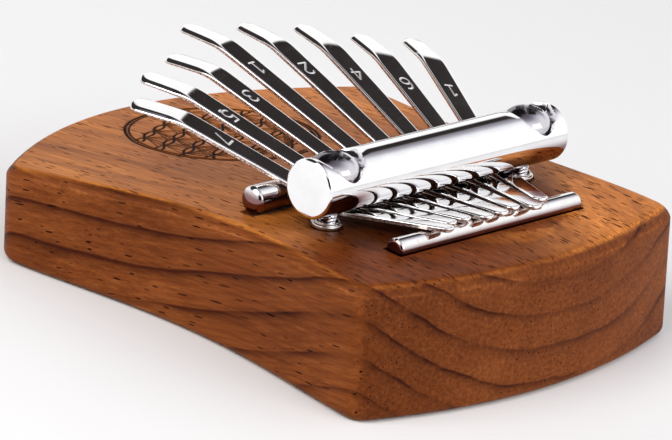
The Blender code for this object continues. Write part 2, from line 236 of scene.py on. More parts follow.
# ------------------------------------------------------------------ node helpers
class Nodes:
    """Small helper to write shader graphs."""

    def __init__(self, mat):
        self.t = mat.node_tree
        self.n = mat.node_tree.nodes
        self.l = mat.node_tree.links

    def new(self, kind, **props):
        node = self.n.new(kind)
        for k, v in props.items():
            setattr(node, k, v)
        return node

    def put(self, socket, value):
        if isinstance(value, bpy.types.NodeSocket):
            self.l.new(value, socket)
        else:
            socket.default_value = value

    def math(self, op, a, b=None, c=None, clamp=False):
        m = self.new("ShaderNodeMath", operation=op, use_clamp=clamp)
        self.put(m.inputs[0], a)
        if b is not None:
            self.put(m.inputs[1], b)
        if c is not None:
            self.put(m.inputs[2], c)
        return m.outputs[0]

    def vmath(self, op, a, b=None):
        m = self.new("ShaderNodeVectorMath", operation=op)
        self.put(m.inputs[0], a)
        if b is not None:
            self.put(m.inputs[1], b)
        return m.outputs["Value"] if op in ("LENGTH", "DOT_PRODUCT") else m.outputs[0]

    def noise(self, vec, scale, detail=3.0, rough=0.5, distort=0.0):
        m = self.new("ShaderNodeTexNoise")
        self.put(m.inputs["Vector"], vec)
        m.inputs["Scale"].default_value = scale
        m.inputs["Detail"].default_value = detail
        m.inputs["Roughness"].default_value = rough
        m.inputs["Distortion"].default_value = distort
        return m.outputs["Fac"]

    def ramp(self, fac, stops, interp="LINEAR"):
        m = self.new("ShaderNodeValToRGB")
        m.color_ramp.interpolation = interp
        el = m.color_ramp.elements
        while len(el) < len(stops):
            el.new(0.5)
        for e, (pos, col) in zip(el, stops):
            e.position = pos
            e.color = (*col, 1.0) if len(col) == 3 else col
        self.put(m.inputs[0], fac)
        return m.outputs["Color"]

    def step(self, x, lo, hi):
        m = self.new("ShaderNodeMapRange", interpolation_type="SMOOTHSTEP")
        self.put(m.inputs["Value"], x)
        m.inputs["From Min"].default_value = lo
        m.inputs["From Max"].default_value = hi
        m.inputs["To Min"].default_value = 0.0
        m.inputs["To Max"].default_value = 1.0
        return m.outputs[0]

    def mix(self, fac, a, b, blend="MIX"):
        m = self.new("ShaderNodeMix", data_type="RGBA", blend_type=blend)
        self.put(m.inputs[0], fac)
        self.put(m.inputs[6], a)
        self.put(m.inputs[7], b)
        return m.outputs[2]

    def scale(self, vec, xyz):
        m = self.new("ShaderNodeMapping")
        self.put(m.inputs["Vector"], vec)
        m.inputs["Scale"].default_value = xyz
        return m.outputs[0]

    def attr(self, name):
        return self.new("ShaderNodeAttribute", attribute_name=name).outputs["Fac"]

    def xyz(self, vec):
        m = self.new("ShaderNodeSeparateXYZ")
        self.put(m.inputs[0], vec)
        return m.outputs[0], m.outputs[1], m.outputs[2]

    def vec(self, x, y, z):
        m = self.new("ShaderNodeCombineXYZ")
        for s, v in zip(m.inputs, (x, y, z)):
            self.put(s, v)
        return m.outputs[0]

    def bump(self, height, strength, distance, normal=None):
        m = self.new("ShaderNodeBump")
        m.inputs["Strength"].default_value = strength
        m.inputs["Distance"].default_value = distance
        self.put(m.inputs["Height"], height)
        if normal is not None:
            self.put(m.inputs["Normal"], normal)
        return m.outputs[0]


def new_material(name):
    mat = bpy.data.materials.new(name)
    mat.use_nodes = True
    g = Nodes(mat)
    bsdf = mat.node_tree.nodes["Principled BSDF"]
    obj = g.new("ShaderNodeTexCoord").outputs["Object"]
    return mat, g, bsdf, obj


# ------------------------------------------------------------------ wood
def wood_material():
    mat, g, bsdf, obj = new_material("varnished_hardwood")
    # object coordinates turned into the board frame, in millimetres
    m = g.new("ShaderNodeMapping", vector_type="POINT")
    g.put(m.inputs["Vector"], obj)
    m.inputs["Rotation"].default_value = (TILT, 0.0, 0.0)
    m.inputs["Scale"].default_value = (1000.0, 1000.0, 1000.0)
    o = Matrix.Rotation(TILT, 3, "X") @ Vector(ORG)
    m.inputs["Location"].default_value = (-o.x, -o.y, -o.z)
    p = m.outputs[0]
    x, y, z = g.xyz(p)

    # growth layers: bowed, slowly wandering sheets along the board
    slow = g.noise(g.scale(p, (0.022, 0.008, 0.030)), 1.0, 2.0, 0.5)
    mid = g.noise(g.scale(p, (0.11, 0.018, 0.13)), 1.0, 2.5, 0.55)
    x7 = g.math("SUBTRACT", x, 7.0)
    t = g.math("SUBTRACT", g.math("ADD", z, 3.0), g.math("MULTIPLY", g.math("MULTIPLY", x7, x7), 0.0078))
    t = g.math("ADD", t, g.math("MULTIPLY", g.math("ADD", y, 30.0), 0.170))
    t = g.math("ADD", t, g.math("MULTIPLY", g.math("SUBTRACT", slow, 0.5), 6.5))
    t = g.math("ADD", t, g.math("MULTIPLY", g.math("SUBTRACT", mid, 0.5), 1.9))
    phase = g.math("FRACT", g.math("MULTIPLY", g.math("ADD", t, 27.0 + 216.0 + 6.4), 1 / 7.2))
    band = g.math("SUBTRACT", g.step(phase, 0.52, 0.88), g.step(phase, 0.895, 0.965))
    core = g.math("SUBTRACT", g.step(phase, 0.78, 0.88), g.step(phase, 0.895, 0.95))
    # band strength changes from place to place
    vary = g.noise(g.scale(p, (0.020, 0.008, 0.14)), 1.0, 2.0, 0.5)
    vary = g.math("MULTIPLY_ADD", g.step(vary, 0.36, 0.60), 0.75, 0.25)
    band = g.math("MULTIPLY", g.math("MULTIPLY_ADD", core, 0.45, g.math("MULTIPLY", band, 0.55)), vary)
    fine_phase = g.math("FRACT", g.math("MULTIPLY", g.math("ADD", t, 203.0), 1 / 1.44))
    fine_band = g.math("MULTIPLY", g.math("SUBTRACT", g.step(fine_phase, 0.2, 0.8), g.step(fine_phase, 0.82, 1.0)), 0.55)

    # fibres along Y
    fibre = g.noise(g.scale(p, (5.5, 0.10, 5.5)), 1.0, 4.0, 0.6, 0.3)
    streak = g.noise(g.scale(p, (1.15, 0.028, 1.3)), 1.0, 3.0, 0.6, 0.5)
    cloud = g.noise(g.scale(p, (0.05, 0.03, 0.05)), 1.0, 3.0, 0.55)

    # vessels: long thin cells, dots where the grain is cut across
    wob = g.noise(g.scale(p, (0.25, 0.05, 0.25)), 1.0, 2.0, 0.5)
    px = g.math("ADD", g.math("MULTIPLY", x, 0.98), g.math("MULTIPLY", wob, 2.2))
    pz = g.math("ADD", g.math("MULTIPLY", z, 0.98), g.math("MULTIPLY", wob, 1.7))
    pc = g.vec(px, g.math("MULTIPLY", y, 0.125), pz)
    vor = g.new("ShaderNodeTexVoronoi", feature="F1", distance="EUCLIDEAN")
    g.put(vor.inputs["Vector"], pc)
    vor.inputs["Scale"].default_value = 1.0
    vor.inputs["Randomness"].default_value = 0.92
    cell = vor.outputs["Color"]
    cr, cg, cb = g.xyz(cell)
    dist = vor.outputs["Distance"]
    geo = g.new("ShaderNodeNewGeometry")
    nx, ny, nz = g.xyz(geo.outputs["Normal"])
    end = g.step(g.math("ABSOLUTE", ny), 0.55, 0.85)
    top = g.step(nz, 0.75, 0.95)
    patchy = g.noise(g.scale(p, (0.045, 0.02, 0.07)), 1.0, 2.0, 0.5)
    cluster = g.math("MULTIPLY", g.step(x, 2.0, 24.0), g.math("SUBTRACT", 1.0, g.step(y, -14.0, 2.0)))
    chosen = g.math("GREATER_THAN", g.math("ADD", g.math("ADD", cr, g.math("MULTIPLY", patchy, 0.75)), g.math("MULTIPLY", cluster, 0.5)), 0.66)
    radius = g.math("MULTIPLY_ADD", cg, 0.10, 0.135)
    pore = g.math("MULTIPLY", g.math("SUBTRACT", 1.0, g.step(g.math("DIVIDE", dist, radius), 0.72, 1.12)), chosen)
    halo = g.math("SUBTRACT", 1.0, g.step(dist, 0.22, 0.40))

    # a second family of finer, fainter vessels
    pc2 = g.vec(g.math("MULTIPLY_ADD", x, 1.9, 40.0), g.math("MULTIPLY", y, 0.24), g.math("MULTIPLY_ADD", z, 1.9, 11.0))
    vor2 = g.new("ShaderNodeTexVoronoi", feature="F1", distance="EUCLIDEAN")
    g.put(vor2.inputs["Vector"], pc2)
    vor2.inputs["Scale"].default_value = 1.0
    c2, _, _ = g.xyz(vor2.outputs["Color"])
    pore2 = g.math("MULTIPLY", g.math("SUBTRACT", 1.0, g.step(vor2.outputs["Distance"], 0.10, 0.19)), g.math("GREATER_THAN", c2, 0.62))

    # open vessels cut lengthwise on the top
    dash = g.new("ShaderNodeTexVoronoi", feature="F1", distance="EUCLIDEAN", voronoi_dimensions="2D")
    g.put(dash.inputs["Vector"], g.vec(g.math("MULTIPLY_ADD", x, 0.72, g.math("MULTIPLY", wob, 1.1)), g.math("MULTIPLY", y, 0.150), 0.0))
    dash.inputs["Scale"].default_value = 1.0
    dr, dg, db = g.xyz(dash.outputs["Color"])
    dash_r = g.math("MULTIPLY_ADD", dg, 0.085, g.math("MULTIPLY_ADD", cluster, 0.05, 0.085))
    dash_on = g.math("GREATER_THAN", g.math("ADD", g.math("ADD", dr, g.math("MULTIPLY", patchy, 0.5)), g.math("MULTIPLY", cluster, 0.5)), 0.78)
    dashes = g.math("MULTIPLY", g.math("SUBTRACT", 1.0, g.step(g.math("DIVIDE", dash.outputs["Distance"], dash_r), 0.75, 1.10)), g.math("MULTIPLY", dash_on, top))
    pore = g.math("MAXIMUM", pore, dashes)

    # how much of the surface is end grain
    tone = g.math("ADD", g.math("MULTIPLY", streak, 0.55), g.math("MULTIPLY", cloud, 0.45))
    base = g.ramp(tone, [(0.28, (0.092, 0.022, 0.0050)), (0.42, (0.160, 0.041, 0.0090)),
                         (0.55, (0.225, 0.062, 0.0140)), (0.72, (0.330, 0.104, 0.0270))])
    # painted light: the top is made about two and a half times lighter than the walls, as if more light fell on it
    pale = g.mix(1.0, base, (2.46, 3.04, 2.42, 1.0), "MULTIPLY")
    base = g.mix(g.math("MULTIPLY", top, 0.95), base, pale)
    base = g.mix(g.math("MULTIPLY", end, g.math("SUBTRACT", 1.0, g.step(x, -50.0, -5.0))), base, g.mix(1.0, base, (0.68, 0.62, 0.60, 1.0), "MULTIPLY"))
    # the top is made lighter towards the far end and at the front right
    lighter_top_patches = g.math("MAXIMUM", g.math("MULTIPLY", g.math("MULTIPLY", g.step(y, 8.0, 48.0), g.step(x, -45.0, 25.0)), 0.95), g.math("MULTIPLY", g.step(x, -2.0, 22.0), g.math("SUBTRACT", 1.0, g.step(y, -12.0, 6.0))))
    base = g.mix(g.math("MULTIPLY", top, lighter_top_patches), base, g.mix(1.0, base, (1.42, 1.46, 1.52, 1.0), "MULTIPLY"))
    # painted shade: the top is darkened at the front left, in front of the bar
    shade = g.math("MULTIPLY", g.math("SUBTRACT", 1.0, g.step(g.math("ADD", y, g.math("MULTIPLY", slow, 22.0)), -2.0, 16.0)), g.math("SUBTRACT", 1.0, g.step(x, -14.0, 24.0)))
    shade = g.math("MULTIPLY", g.math("MULTIPLY", shade, top), 1.0)
    base = g.mix(shade, base, g.mix(1.0, base, (0.40, 0.28, 0.24, 1.0), "MULTIPLY"))
    # painted shadow: the wood under the bar and the tine heels is darkened
    painted_bar_shadow = g.math("MULTIPLY", g.math("SUBTRACT", 1.0, g.step(g.math("ABSOLUTE", x), 27.0, 38.0)),
                       g.math("SUBTRACT", 1.0, g.step(g.math("ABSOLUTE", g.math("ADD", y, 3.0)), 5.0, 12.5)))
    painted_bar_shadow = g.math("MULTIPLY", g.math("MULTIPLY", painted_bar_shadow, top), g.math("MULTIPLY_ADD", cloud, 0.5, 0.65), clamp=True)
    base = g.mix(painted_bar_shadow, base, g.mix(1.0, base, (0.20, 0.14, 0.13, 1.0), "MULTIPLY"))
    # painted reflection of the front rod in the varnish: dark blotches just in front of the rod
    bx = g.math("MULTIPLY", g.math("ADD", x, -11.0), 0.105)
    by = g.math("MULTIPLY", g.math("ADD", y, 18.6), 0.36)
    spread = g.math("SQRT", g.math("ADD", g.math("MULTIPLY", bx, bx), g.math("MULTIPLY", by, by)))
    spread = g.math("ADD", spread, g.math("MULTIPLY_ADD", g.noise(g.scale(p, (0.42, 0.42, 0.42)), 1.0, 4.0, 0.65), 1.5, -0.75))
    rod_reflection_patch = g.math("MULTIPLY", g.math("SUBTRACT", 1.0, g.step(spread, 0.70, 1.05)), top)
    base = g.mix(g.math("MULTIPLY", rod_reflection_patch, 0.75), base, g.mix(1.0, base, (0.34, 0.20, 0.15, 1.0), "MULTIPLY"))
    dark = g.mix(1.0, base, (0.24, 0.15, 0.19, 1.0), "MULTIPLY")
    col = g.mix(g.math("MULTIPLY", band, g.math("MULTIPLY_ADD", top, -0.50, 0.95)), base, dark)
    fine_dark = g.mix(1.0, col, (0.66, 0.56, 0.52, 1.0), "MULTIPLY")
    col = g.mix(g.math("MULTIPLY", fine_band, g.math("MULTIPLY_ADD", end, -0.3, 0.62)), col, fine_dark)
    # fibre contrast
    fib = g.step(fibre, 0.30, 0.72)
    fibre_dark = g.mix(1.0, col, (0.64, 0.55, 0.50, 1.0), "MULTIPLY")
    col = g.mix(g.math("MULTIPLY", g.math("SUBTRACT", 1.0, fib), g.math("MULTIPLY_ADD", end, -0.30, 0.62)), col, fibre_dark)
    # pale tissue round the vessels shows as rings on the end grain
    ring_col = g.mix(1.0, col, (1.45, 1.50, 1.55, 1.0), "MULTIPLY")
    ring = g.math("MULTIPLY", halo, g.math("MULTIPLY", g.math("GREATER_THAN", cr, 0.18), g.math("MULTIPLY_ADD", end, 0.50, 0.10)))
    col = g.mix(ring, col, ring_col)
    pore_col = g.mix(1.0, col, (0.10, 0.06, 0.06, 1.0), "MULTIPLY")
    deep = g.math("MULTIPLY", pore, g.math("MULTIPLY_ADD", cb, 0.45, 0.60), clamp=True)
    col = g.mix(deep, col, pore_col)
    faint_col = g.mix(1.0, col, (0.50, 0.40, 0.36, 1.0), "MULTIPLY")
    col = g.mix(g.math("MULTIPLY", pore2, 0.55), col, faint_col)

    # paler arris along the rounded edges: painted highlight lines at the borders of the rounding, broken up, with real
    # worn spots
    edge = g.attr("edge")
    edge_break_noise = g.noise(g.scale(p, (0.9, 0.9, 0.9)), 1.0, 4.0, 0.65)
    edge_break_long = g.noise(g.scale(p, (0.07, 0.07, 0.07)), 1.0, 2.0, 0.5)
    wear_and_highlight = g.math("MULTIPLY", edge, g.math("MULTIPLY_ADD", g.step(edge_break_noise, 0.38, 0.62), 0.65, 0.35))
    wear_and_highlight = g.math("MULTIPLY", wear_and_highlight, g.math("MULTIPLY_ADD", g.step(edge_break_long, 0.34, 0.58), 0.7, 0.3))
    worn_and_highlit = g.mix(1.0, col, (1.75, 2.0, 2.2, 1.0), "MULTIPLY")
    worn_and_highlit = g.mix(g.step(g.noise(g.scale(p, (1.8, 1.8, 1.8)), 1.0, 3.0, 0.6), 0.62, 0.72), worn_and_highlit, (0.060, 0.018, 0.006, 1.0))
    col = g.mix(g.math("MULTIPLY", wear_and_highlight, 0.9), col, worn_and_highlit)

    # burnt drawing: char in the line, a toasted margin around it
    burn = g.attr("burn")
    toast = g.attr("toast")
    rough_burn = g.noise(g.scale(p, (3.0, 3.0, 3.0)), 1.0, 3.0, 0.6)
    toasted = g.mix(1.0, col, (0.62, 0.50, 0.42, 1.0), "MULTIPLY")
    col = g.mix(g.math("MULTIPLY", toast, g.math("MULTIPLY_ADD", rough_burn, 0.5, 0.30), clamp=True), col, toasted)
    char_col = g.ramp(rough_burn, [(0.3, (0.006, 0.003, 0.002)), (0.8, (0.030, 0.012, 0.005))])
    col = g.mix(g.math("POWER", burn, 0.7), col, char_col)
    # painted shade: darker wood in the rod grooves
    groove_shade = g.attr("groove")
    groove_col = g.mix(1.0, col, (0.34, 0.27, 0.24, 1.0), "MULTIPLY")
    col = g.mix(groove_shade, col, groove_col)

    g.put(bsdf.inputs["Base Color"], col)
    rough = g.math("ADD", 0.34, g.math("MULTIPLY", deep, 0.28))
    rough = g.math("ADD", rough, g.math("MULTIPLY", burn, 0.35))
    rough = g.math("ADD", rough, g.math("MULTIPLY", g.math("SUBTRACT", 1.0, fib), 0.09))
    rough = g.math("ADD", rough, g.math("MULTIPLY", end, 0.07))
    rough = g.math("ADD", rough, g.math("MULTIPLY", wear_and_highlight, 0.2))
    g.put(bsdf.inputs["Roughness"], rough)
    bsdf.inputs["Specular IOR Level"].default_value = 0.05
    bsdf.inputs["Coat Weight"].default_value = 0.0
    bsdf.inputs["Coat Roughness"].default_value = 0.22
    h = g.math("SUBTRACT", g.math("MULTIPLY", fib, 0.10), g.math("MULTIPLY", deep, 1.0))
    h = g.math("SUBTRACT", h, g.math("MULTIPLY", pore2, 0.3))
    h = g.math("SUBTRACT", h, g.math("MULTIPLY", burn, 0.5))
    g.put(bsdf.inputs["Normal"], g.bump(h, 0.55, 0.00007))
    return mat


# ------------------------------------------------------------------ metals
def metal_material(name, colour, rough, scratch_axis=(1.0, 1.0, 1.0), pit=0.25, haze=0.06, stain=0.0, edge_attr=None):
    """Plated metal: polish haze, fine scratches along one direction, small pits."""
    mat, g, bsdf, obj = new_material(name)
    p = g.scale(obj, (1000.0, 1000.0, 1000.0))
    cloud = g.noise(g.scale(p, (0.22, 0.22, 0.22)), 1.0, 4.0, 0.6)
    fine = g.noise(g.scale(p, (2.6, 2.6, 2.6)), 1.0, 3.0, 0.6)
    lines = g.noise(g.scale(p, scratch_axis), 1.0, 3.0, 0.7)
    vor = g.new("ShaderNodeTexVoronoi", feature="F1", distance="EUCLIDEAN")
    g.put(vor.inputs["Vector"], g.scale(p, (1.35, 1.35, 1.35)))
    vor.inputs["Scale"].default_value = 1.0
    cr, cg, cb = g.xyz(vor.outputs["Color"])
    pits = g.math("MULTIPLY", g.math("SUBTRACT", 1.0, g.step(vor.outputs["Distance"], 0.03, 0.13)), g.math("GREATER_THAN", cr, 0.80))
    scratch = g.step(lines, 0.60, 0.72)
    base = g.mix(g.step(cloud, 0.3, 0.75), tuple(0.93 * c for c in colour) + (1.0,), tuple(colour) + (1.0,))
    base = g.mix(g.math("MULTIPLY", pits, pit), base, (0.20, 0.17, 0.16, 1.0))
    if stain:
        warm = g.mix(1.0, base, (0.80, 0.66, 0.58, 1.0), "MULTIPLY")
        patch = g.step(g.noise(g.scale(p, (0.9, 0.9, 0.9)), 1.0, 5.0, 0.7), 0.52, 0.68)
        base = g.mix(g.math("MULTIPLY", patch, stain), base, warm)
    r = g.math("ADD", rough, g.math("MULTIPLY", g.step(cloud, 0.35, 0.75), haze))
    r = g.math("ADD", r, g.math("MULTIPLY", scratch, haze * 0.9))
    r = g.math("ADD", r, g.math("MULTIPLY", pits, 0.22))
    h = g.math("SUBTRACT", g.math("MULTIPLY", fine, 0.12), g.math("MULTIPLY", scratch, 0.10))
    h = g.math("SUBTRACT", h, g.math("MULTIPLY", pits, 0.8))
    if edge_attr:
        stamp = g.attr(edge_attr)
        frost = g.math("MULTIPLY", stamp, g.math("MULTIPLY_ADD", fine, 0.5, 0.7), clamp=True)
        base = g.mix(frost, base, (0.97, 0.96, 0.94, 1.0))
        r = g.math("ADD", r, g.math("MULTIPLY", stamp, 0.34))
        h = g.math("ADD", h, g.math("MULTIPLY", g.math("MULTIPLY", stamp, g.noise(g.scale(p, (9.0, 9.0, 9.0)), 1.0, 2.0, 0.5)), 0.8))
    geo = g.new("ShaderNodeNewGeometry")
    nx, ny, nz = g.xyz(geo.outputs["Normal"])
    if name in ("polished_bar_chrome", "polished_rod_chrome"):
        # painted reflection: brown-dark along the underside, standing in for the shaded wood reflected there
        lo, hi = (-0.22, 0.16) if name == "polished_bar_chrome" else (0.12, 0.66)
        under = g.math("SUBTRACT", 1.0, g.step(nz, lo, hi))
        px, py, pz = g.xyz(p)
        if name == "polished_rod_chrome":
            # painted reflection: the front rod's end cap is browner than its side, standing in for the wood reflected
            # in it
            cap = g.math("MULTIPLY", g.step(g.math("ABSOLUTE", nx), 0.35, 0.85), g.math("LESS_THAN", py, -30.0))
            base = g.mix(g.math("MULTIPLY", cap, 0.9), base, g.mix(1.0, base, (0.50, 0.30, 0.24, 1.0), "MULTIPLY"))
        if name == "polished_bar_chrome":
            under = g.math("MULTIPLY", under, g.step(g.math("ABSOLUTE", px), 20.0, 27.0))
            under = g.math("MULTIPLY", under, g.math("SUBTRACT", 1.0, g.step(g.math("ABSOLUTE", nx), 0.25, 0.60)))
        base = g.mix(g.math("MULTIPLY", under, 0.96), base, g.mix(1.0, base, (0.24, 0.11, 0.11, 1.0), "MULTIPLY"))
    if name == "bright_screw_steel":
        # painted reflection: one flank of the dome is darkened by surface direction, standing in for a dark reflection
        flank = g.math("ADD", g.math("ADD", g.math("MULTIPLY", nx, -0.566), g.math("MULTIPLY", ny, 0.163)), g.math("MULTIPLY", nz, 0.808))
        base = g.mix(g.math("MULTIPLY", g.step(flank, 0.66, 0.95), 0.9), base, g.mix(1.0, base, (0.20, 0.18, 0.20, 1.0), "MULTIPLY"))
        # painted shade at the bottom of the driver recess
        recess_shade = g.attr("recess_shade")
        base = g.mix(g.math("MULTIPLY", recess_shade, g.math("MULTIPLY_ADD", fine, 0.3, 0.72), clamp=True), base, (0.030, 0.022, 0.020, 1.0))
        r = g.math("ADD", r, g.math("MULTIPLY", recess_shade, 0.3))
    if edge_attr:
        # the lower half of a sheared edge is rough, with dark and pale speckles; their brown and pink tint is painted
        # reflection of the wood below
        burr = g.attr("burr")
        speck = g.noise(g.scale(p, (2.3, 2.3, 4.0)), 1.0, 4.0, 0.7)
        torn_and_reflected = g.ramp(speck, [(0.36, (0.085, 0.040, 0.028)), (0.46, (0.40, 0.27, 0.22)), (0.56, (0.88, 0.78, 0.74)), (0.66, (0.95, 0.90, 0.88))])
        base = g.mix(burr, base, torn_and_reflected)
        r = g.math("ADD", r, g.math("MULTIPLY", burr, 0.30))
        h = g.math("ADD", h, g.math("MULTIPLY", g.math("MULTIPLY", burr, speck), 3.0))
    g.put(bsdf.inputs["Base Color"], base)
    g.put(bsdf.inputs["Roughness"], r)
    bsdf.inputs["Metallic"].default_value = 1.0
    g.put(bsdf.inputs["Normal"], g.bump(h, 0.30, 0.00002))
    return mat


WOOD = wood_material()
BAR_CHROME = metal_material("polished_bar_chrome", (0.96, 0.96, 0.97), 0.035, (0.5, 9.0, 9.0), haze=0.035)
ROD_CHROME = metal_material("polished_rod_chrome", (0.93, 0.92, 0.92), 0.05, (0.4, 10.0, 10.0), haze=0.05, stain=0.35)
SCREW_STEEL = metal_material("bright_screw_steel", (0.66, 0.64, 0.68), 0.10, (7.0, 7.0, 1.0), haze=0.07, stain=0.10)
INSERT_STEEL = metal_material("bright_insert_steel", (0.82, 0.81, 0.80), 0.10, (8.0, 8.0, 1.0), haze=0.07, stain=0.25)
TINE_STEEL = metal_material("bright_tine_steel", (0.93, 0.92, 0.92), 0.055, (7.0, 0.45, 7.0), haze=0.05, stain=0.06, edge_attr="stamp")

# ------------------------------------------------------------------ board
NEAR_HALF, NEAR_Y, FAR_HALF, FAR_Y = 46.9, -25.45, 53.4, 65.9
WAIST, NEAR_BOW, FAR_BOW = 5.5, 7.6, 19.25
TOP_SLOPE, TOP_CURVE, TOP_CUBIC = 0.0815, -0.00128, 6.7e-6
UNDER_Z = -26.34
CORNER, TOP_ROUND, UNDER_ROUND = 3.4, 2.2, 1.8
UNDER_TILT = math.radians(7.446)


def top_z(y):
    return TOP_SLOPE * y + TOP_CURVE * y * y + TOP_CUBIC * y ** 3


def under_z(y):
    return UNDER_Z + math.tan(UNDER_TILT) * y


def side_half_width(y):
    t = (y - NEAR_Y) / (FAR_Y - NEAR_Y)
    pull = 0.25 * 4.0 * t * (1.0 - t) + 0.75 * 16.0 * (t * (1.0 - t)) ** 2
    return NEAR_HALF + (FAR_HALF - NEAR_HALF) * t - WAIST * pull


def near_y(x):
    return NEAR_Y - NEAR_BOW * (1.0 - (x / NEAR_HALF) ** 2)


def far_y(x):
    return FAR_Y + FAR_BOW * (1.0 - (x / FAR_HALF) ** 2)


def half_outline():
    pts = []
    x_in = NEAR_HALF - CORNER
    n = 56
    for k in range(n + 1):
        x = x_in * k / n
        pts.append((x, near_y(x)))

    def knee(start, corner, end, steps):
        s, c, e = (np.array(v, float) for v in (start, corner, end))
        return [tuple((1 - t) ** 2 * s + 2 * t * (1 - t) * c + t * t * e) for t in (k / steps for k in range(1, steps))]

    y_a = NEAR_Y + CORNER
    pts += knee(pts[-1], (NEAR_HALF, NEAR_Y), (side_half_width(y_a), y_a), 14)
    y_b = FAR_Y - CORNER
    n = 120
    for k in range(n + 1):
        y = y_a + (y_b - y_a) * k / n
        pts.append((side_half_width(y), y))
    x_b = FAR_HALF - CORNER
    pts += knee(pts[-1], (FAR_HALF, FAR_Y), (x_b, far_y(x_b)), 14)
    n = 130
    for k in range(n + 1):
        x = x_b * (1.0 - k / n)
        pts.append((x, far_y(x)))
    return np.array(pts)


ROS = np.array([-0.5, 56.5])          # centre of the burnt rosette in the board frame
ROS_R = 20.0


def rosette_strokes():
    """Segments (ax, ay, bx, by, half width, depth) about the rosette's centre."""
    seg = []

    def line(points, w, deep):
        for a, b in zip(points, points[1:]):
            seg.append((a[0], a[1], b[0], b[1], w, deep))

    def circle(r, w, deep, n=140, cx=0.0, cy=0.0, wob=0.0):
        pts = []
        for k in range(n + 1):
            a = 2 * math.pi * k / n
            q = r + wob * math.sin(9 * a + r) + 0.5 * wob * math.sin(23 * a)
            pts.append((cx + q * math.cos(a), cy + q * math.sin(a)))
        line(pts, w, deep)

    circle(ROS_R, 0.32, 1.0, wob=0.06)
    circle(ROS_R - 0.82, 0.20, 1.0, wob=0.05)
    u = np.array([0.915, 0.403]) / math.hypot(0.915, 0.403)
    v = np.array([-u[1], u[0]])
    lim = ROS_R - 1.2
    link, amp, gap = 5.66, 0.80, 5.7
    nodes = {}
    for c in range(-3, 4):
        off = gap * c + 1.6
        half = math.sqrt(max(0.0, lim * lim - off * off))
        if half < 3:
            continue
        shift = 2.0 * c + 1.0
        steps = int(2 * half / 0.3)
        for sign in (-1, 1):
            pts = []
            for k in range(steps + 1):
                s = -half + 2 * half * k / steps
                wave = sign * amp * math.sin(math.pi * (s + shift) / link)
                pts.append(tuple(u * s + v * (off + wave)))
            line(pts, 0.27, 1.0)
        first = math.ceil((-half + shift) / link)
        nodes[c] = [u * (k * link - shift) + v * off for k in range(first, first + 12) if abs(k * link - shift) < half - 0.2]
    # straight fans of thin lines from each crossing to the strands of the next chain
    for c in range(-3, 4):
        for p in nodes.get(c, []):
            for q in sorted(nodes.get(c - 1, []), key=lambda q: np.linalg.norm(q - p))[:2]:
                for k in (-1.6, 0.0, 1.6):
                    e = q + u * k + v * 0.6
                    if np.linalg.norm(e) < lim:
                        line([tuple(p - v * 0.3), tuple(e)], 0.13, 0.8)
    return np.array(seg)


def stroke_field(xy, seg, margin):
    """Burn and toast amounts at points xy for the given strokes."""
    burn = np.zeros(len(xy))
    toast = np.zeros(len(xy))
    a, b = seg[:, 0:2], seg[:, 2:4]
    d = b - a
    L2 = np.maximum((d ** 2).sum(1), 1e-12)
    for s in range(0, len(xy), 3000):
        q = xy[s:s + 3000]
        rel = q[:, None, :] - a[None]
        t = np.clip((rel * d[None]).sum(2) / L2[None], 0, 1)
        dist = np.linalg.norm(rel - t[..., None] * d[None], axis=2)
        k = np.clip(1.0 - (dist - seg[None, :, 4] * 0.75) / (seg[None, :, 4] * 0.6), 0, 1)
        burn[s:s + 3000] = (k * k * (3 - 2 * k) * seg[None, :, 5]).max(1)
        toast[s:s + 3000] = np.exp(-((dist / margin) ** 2)).max(1)
    return burn, toast


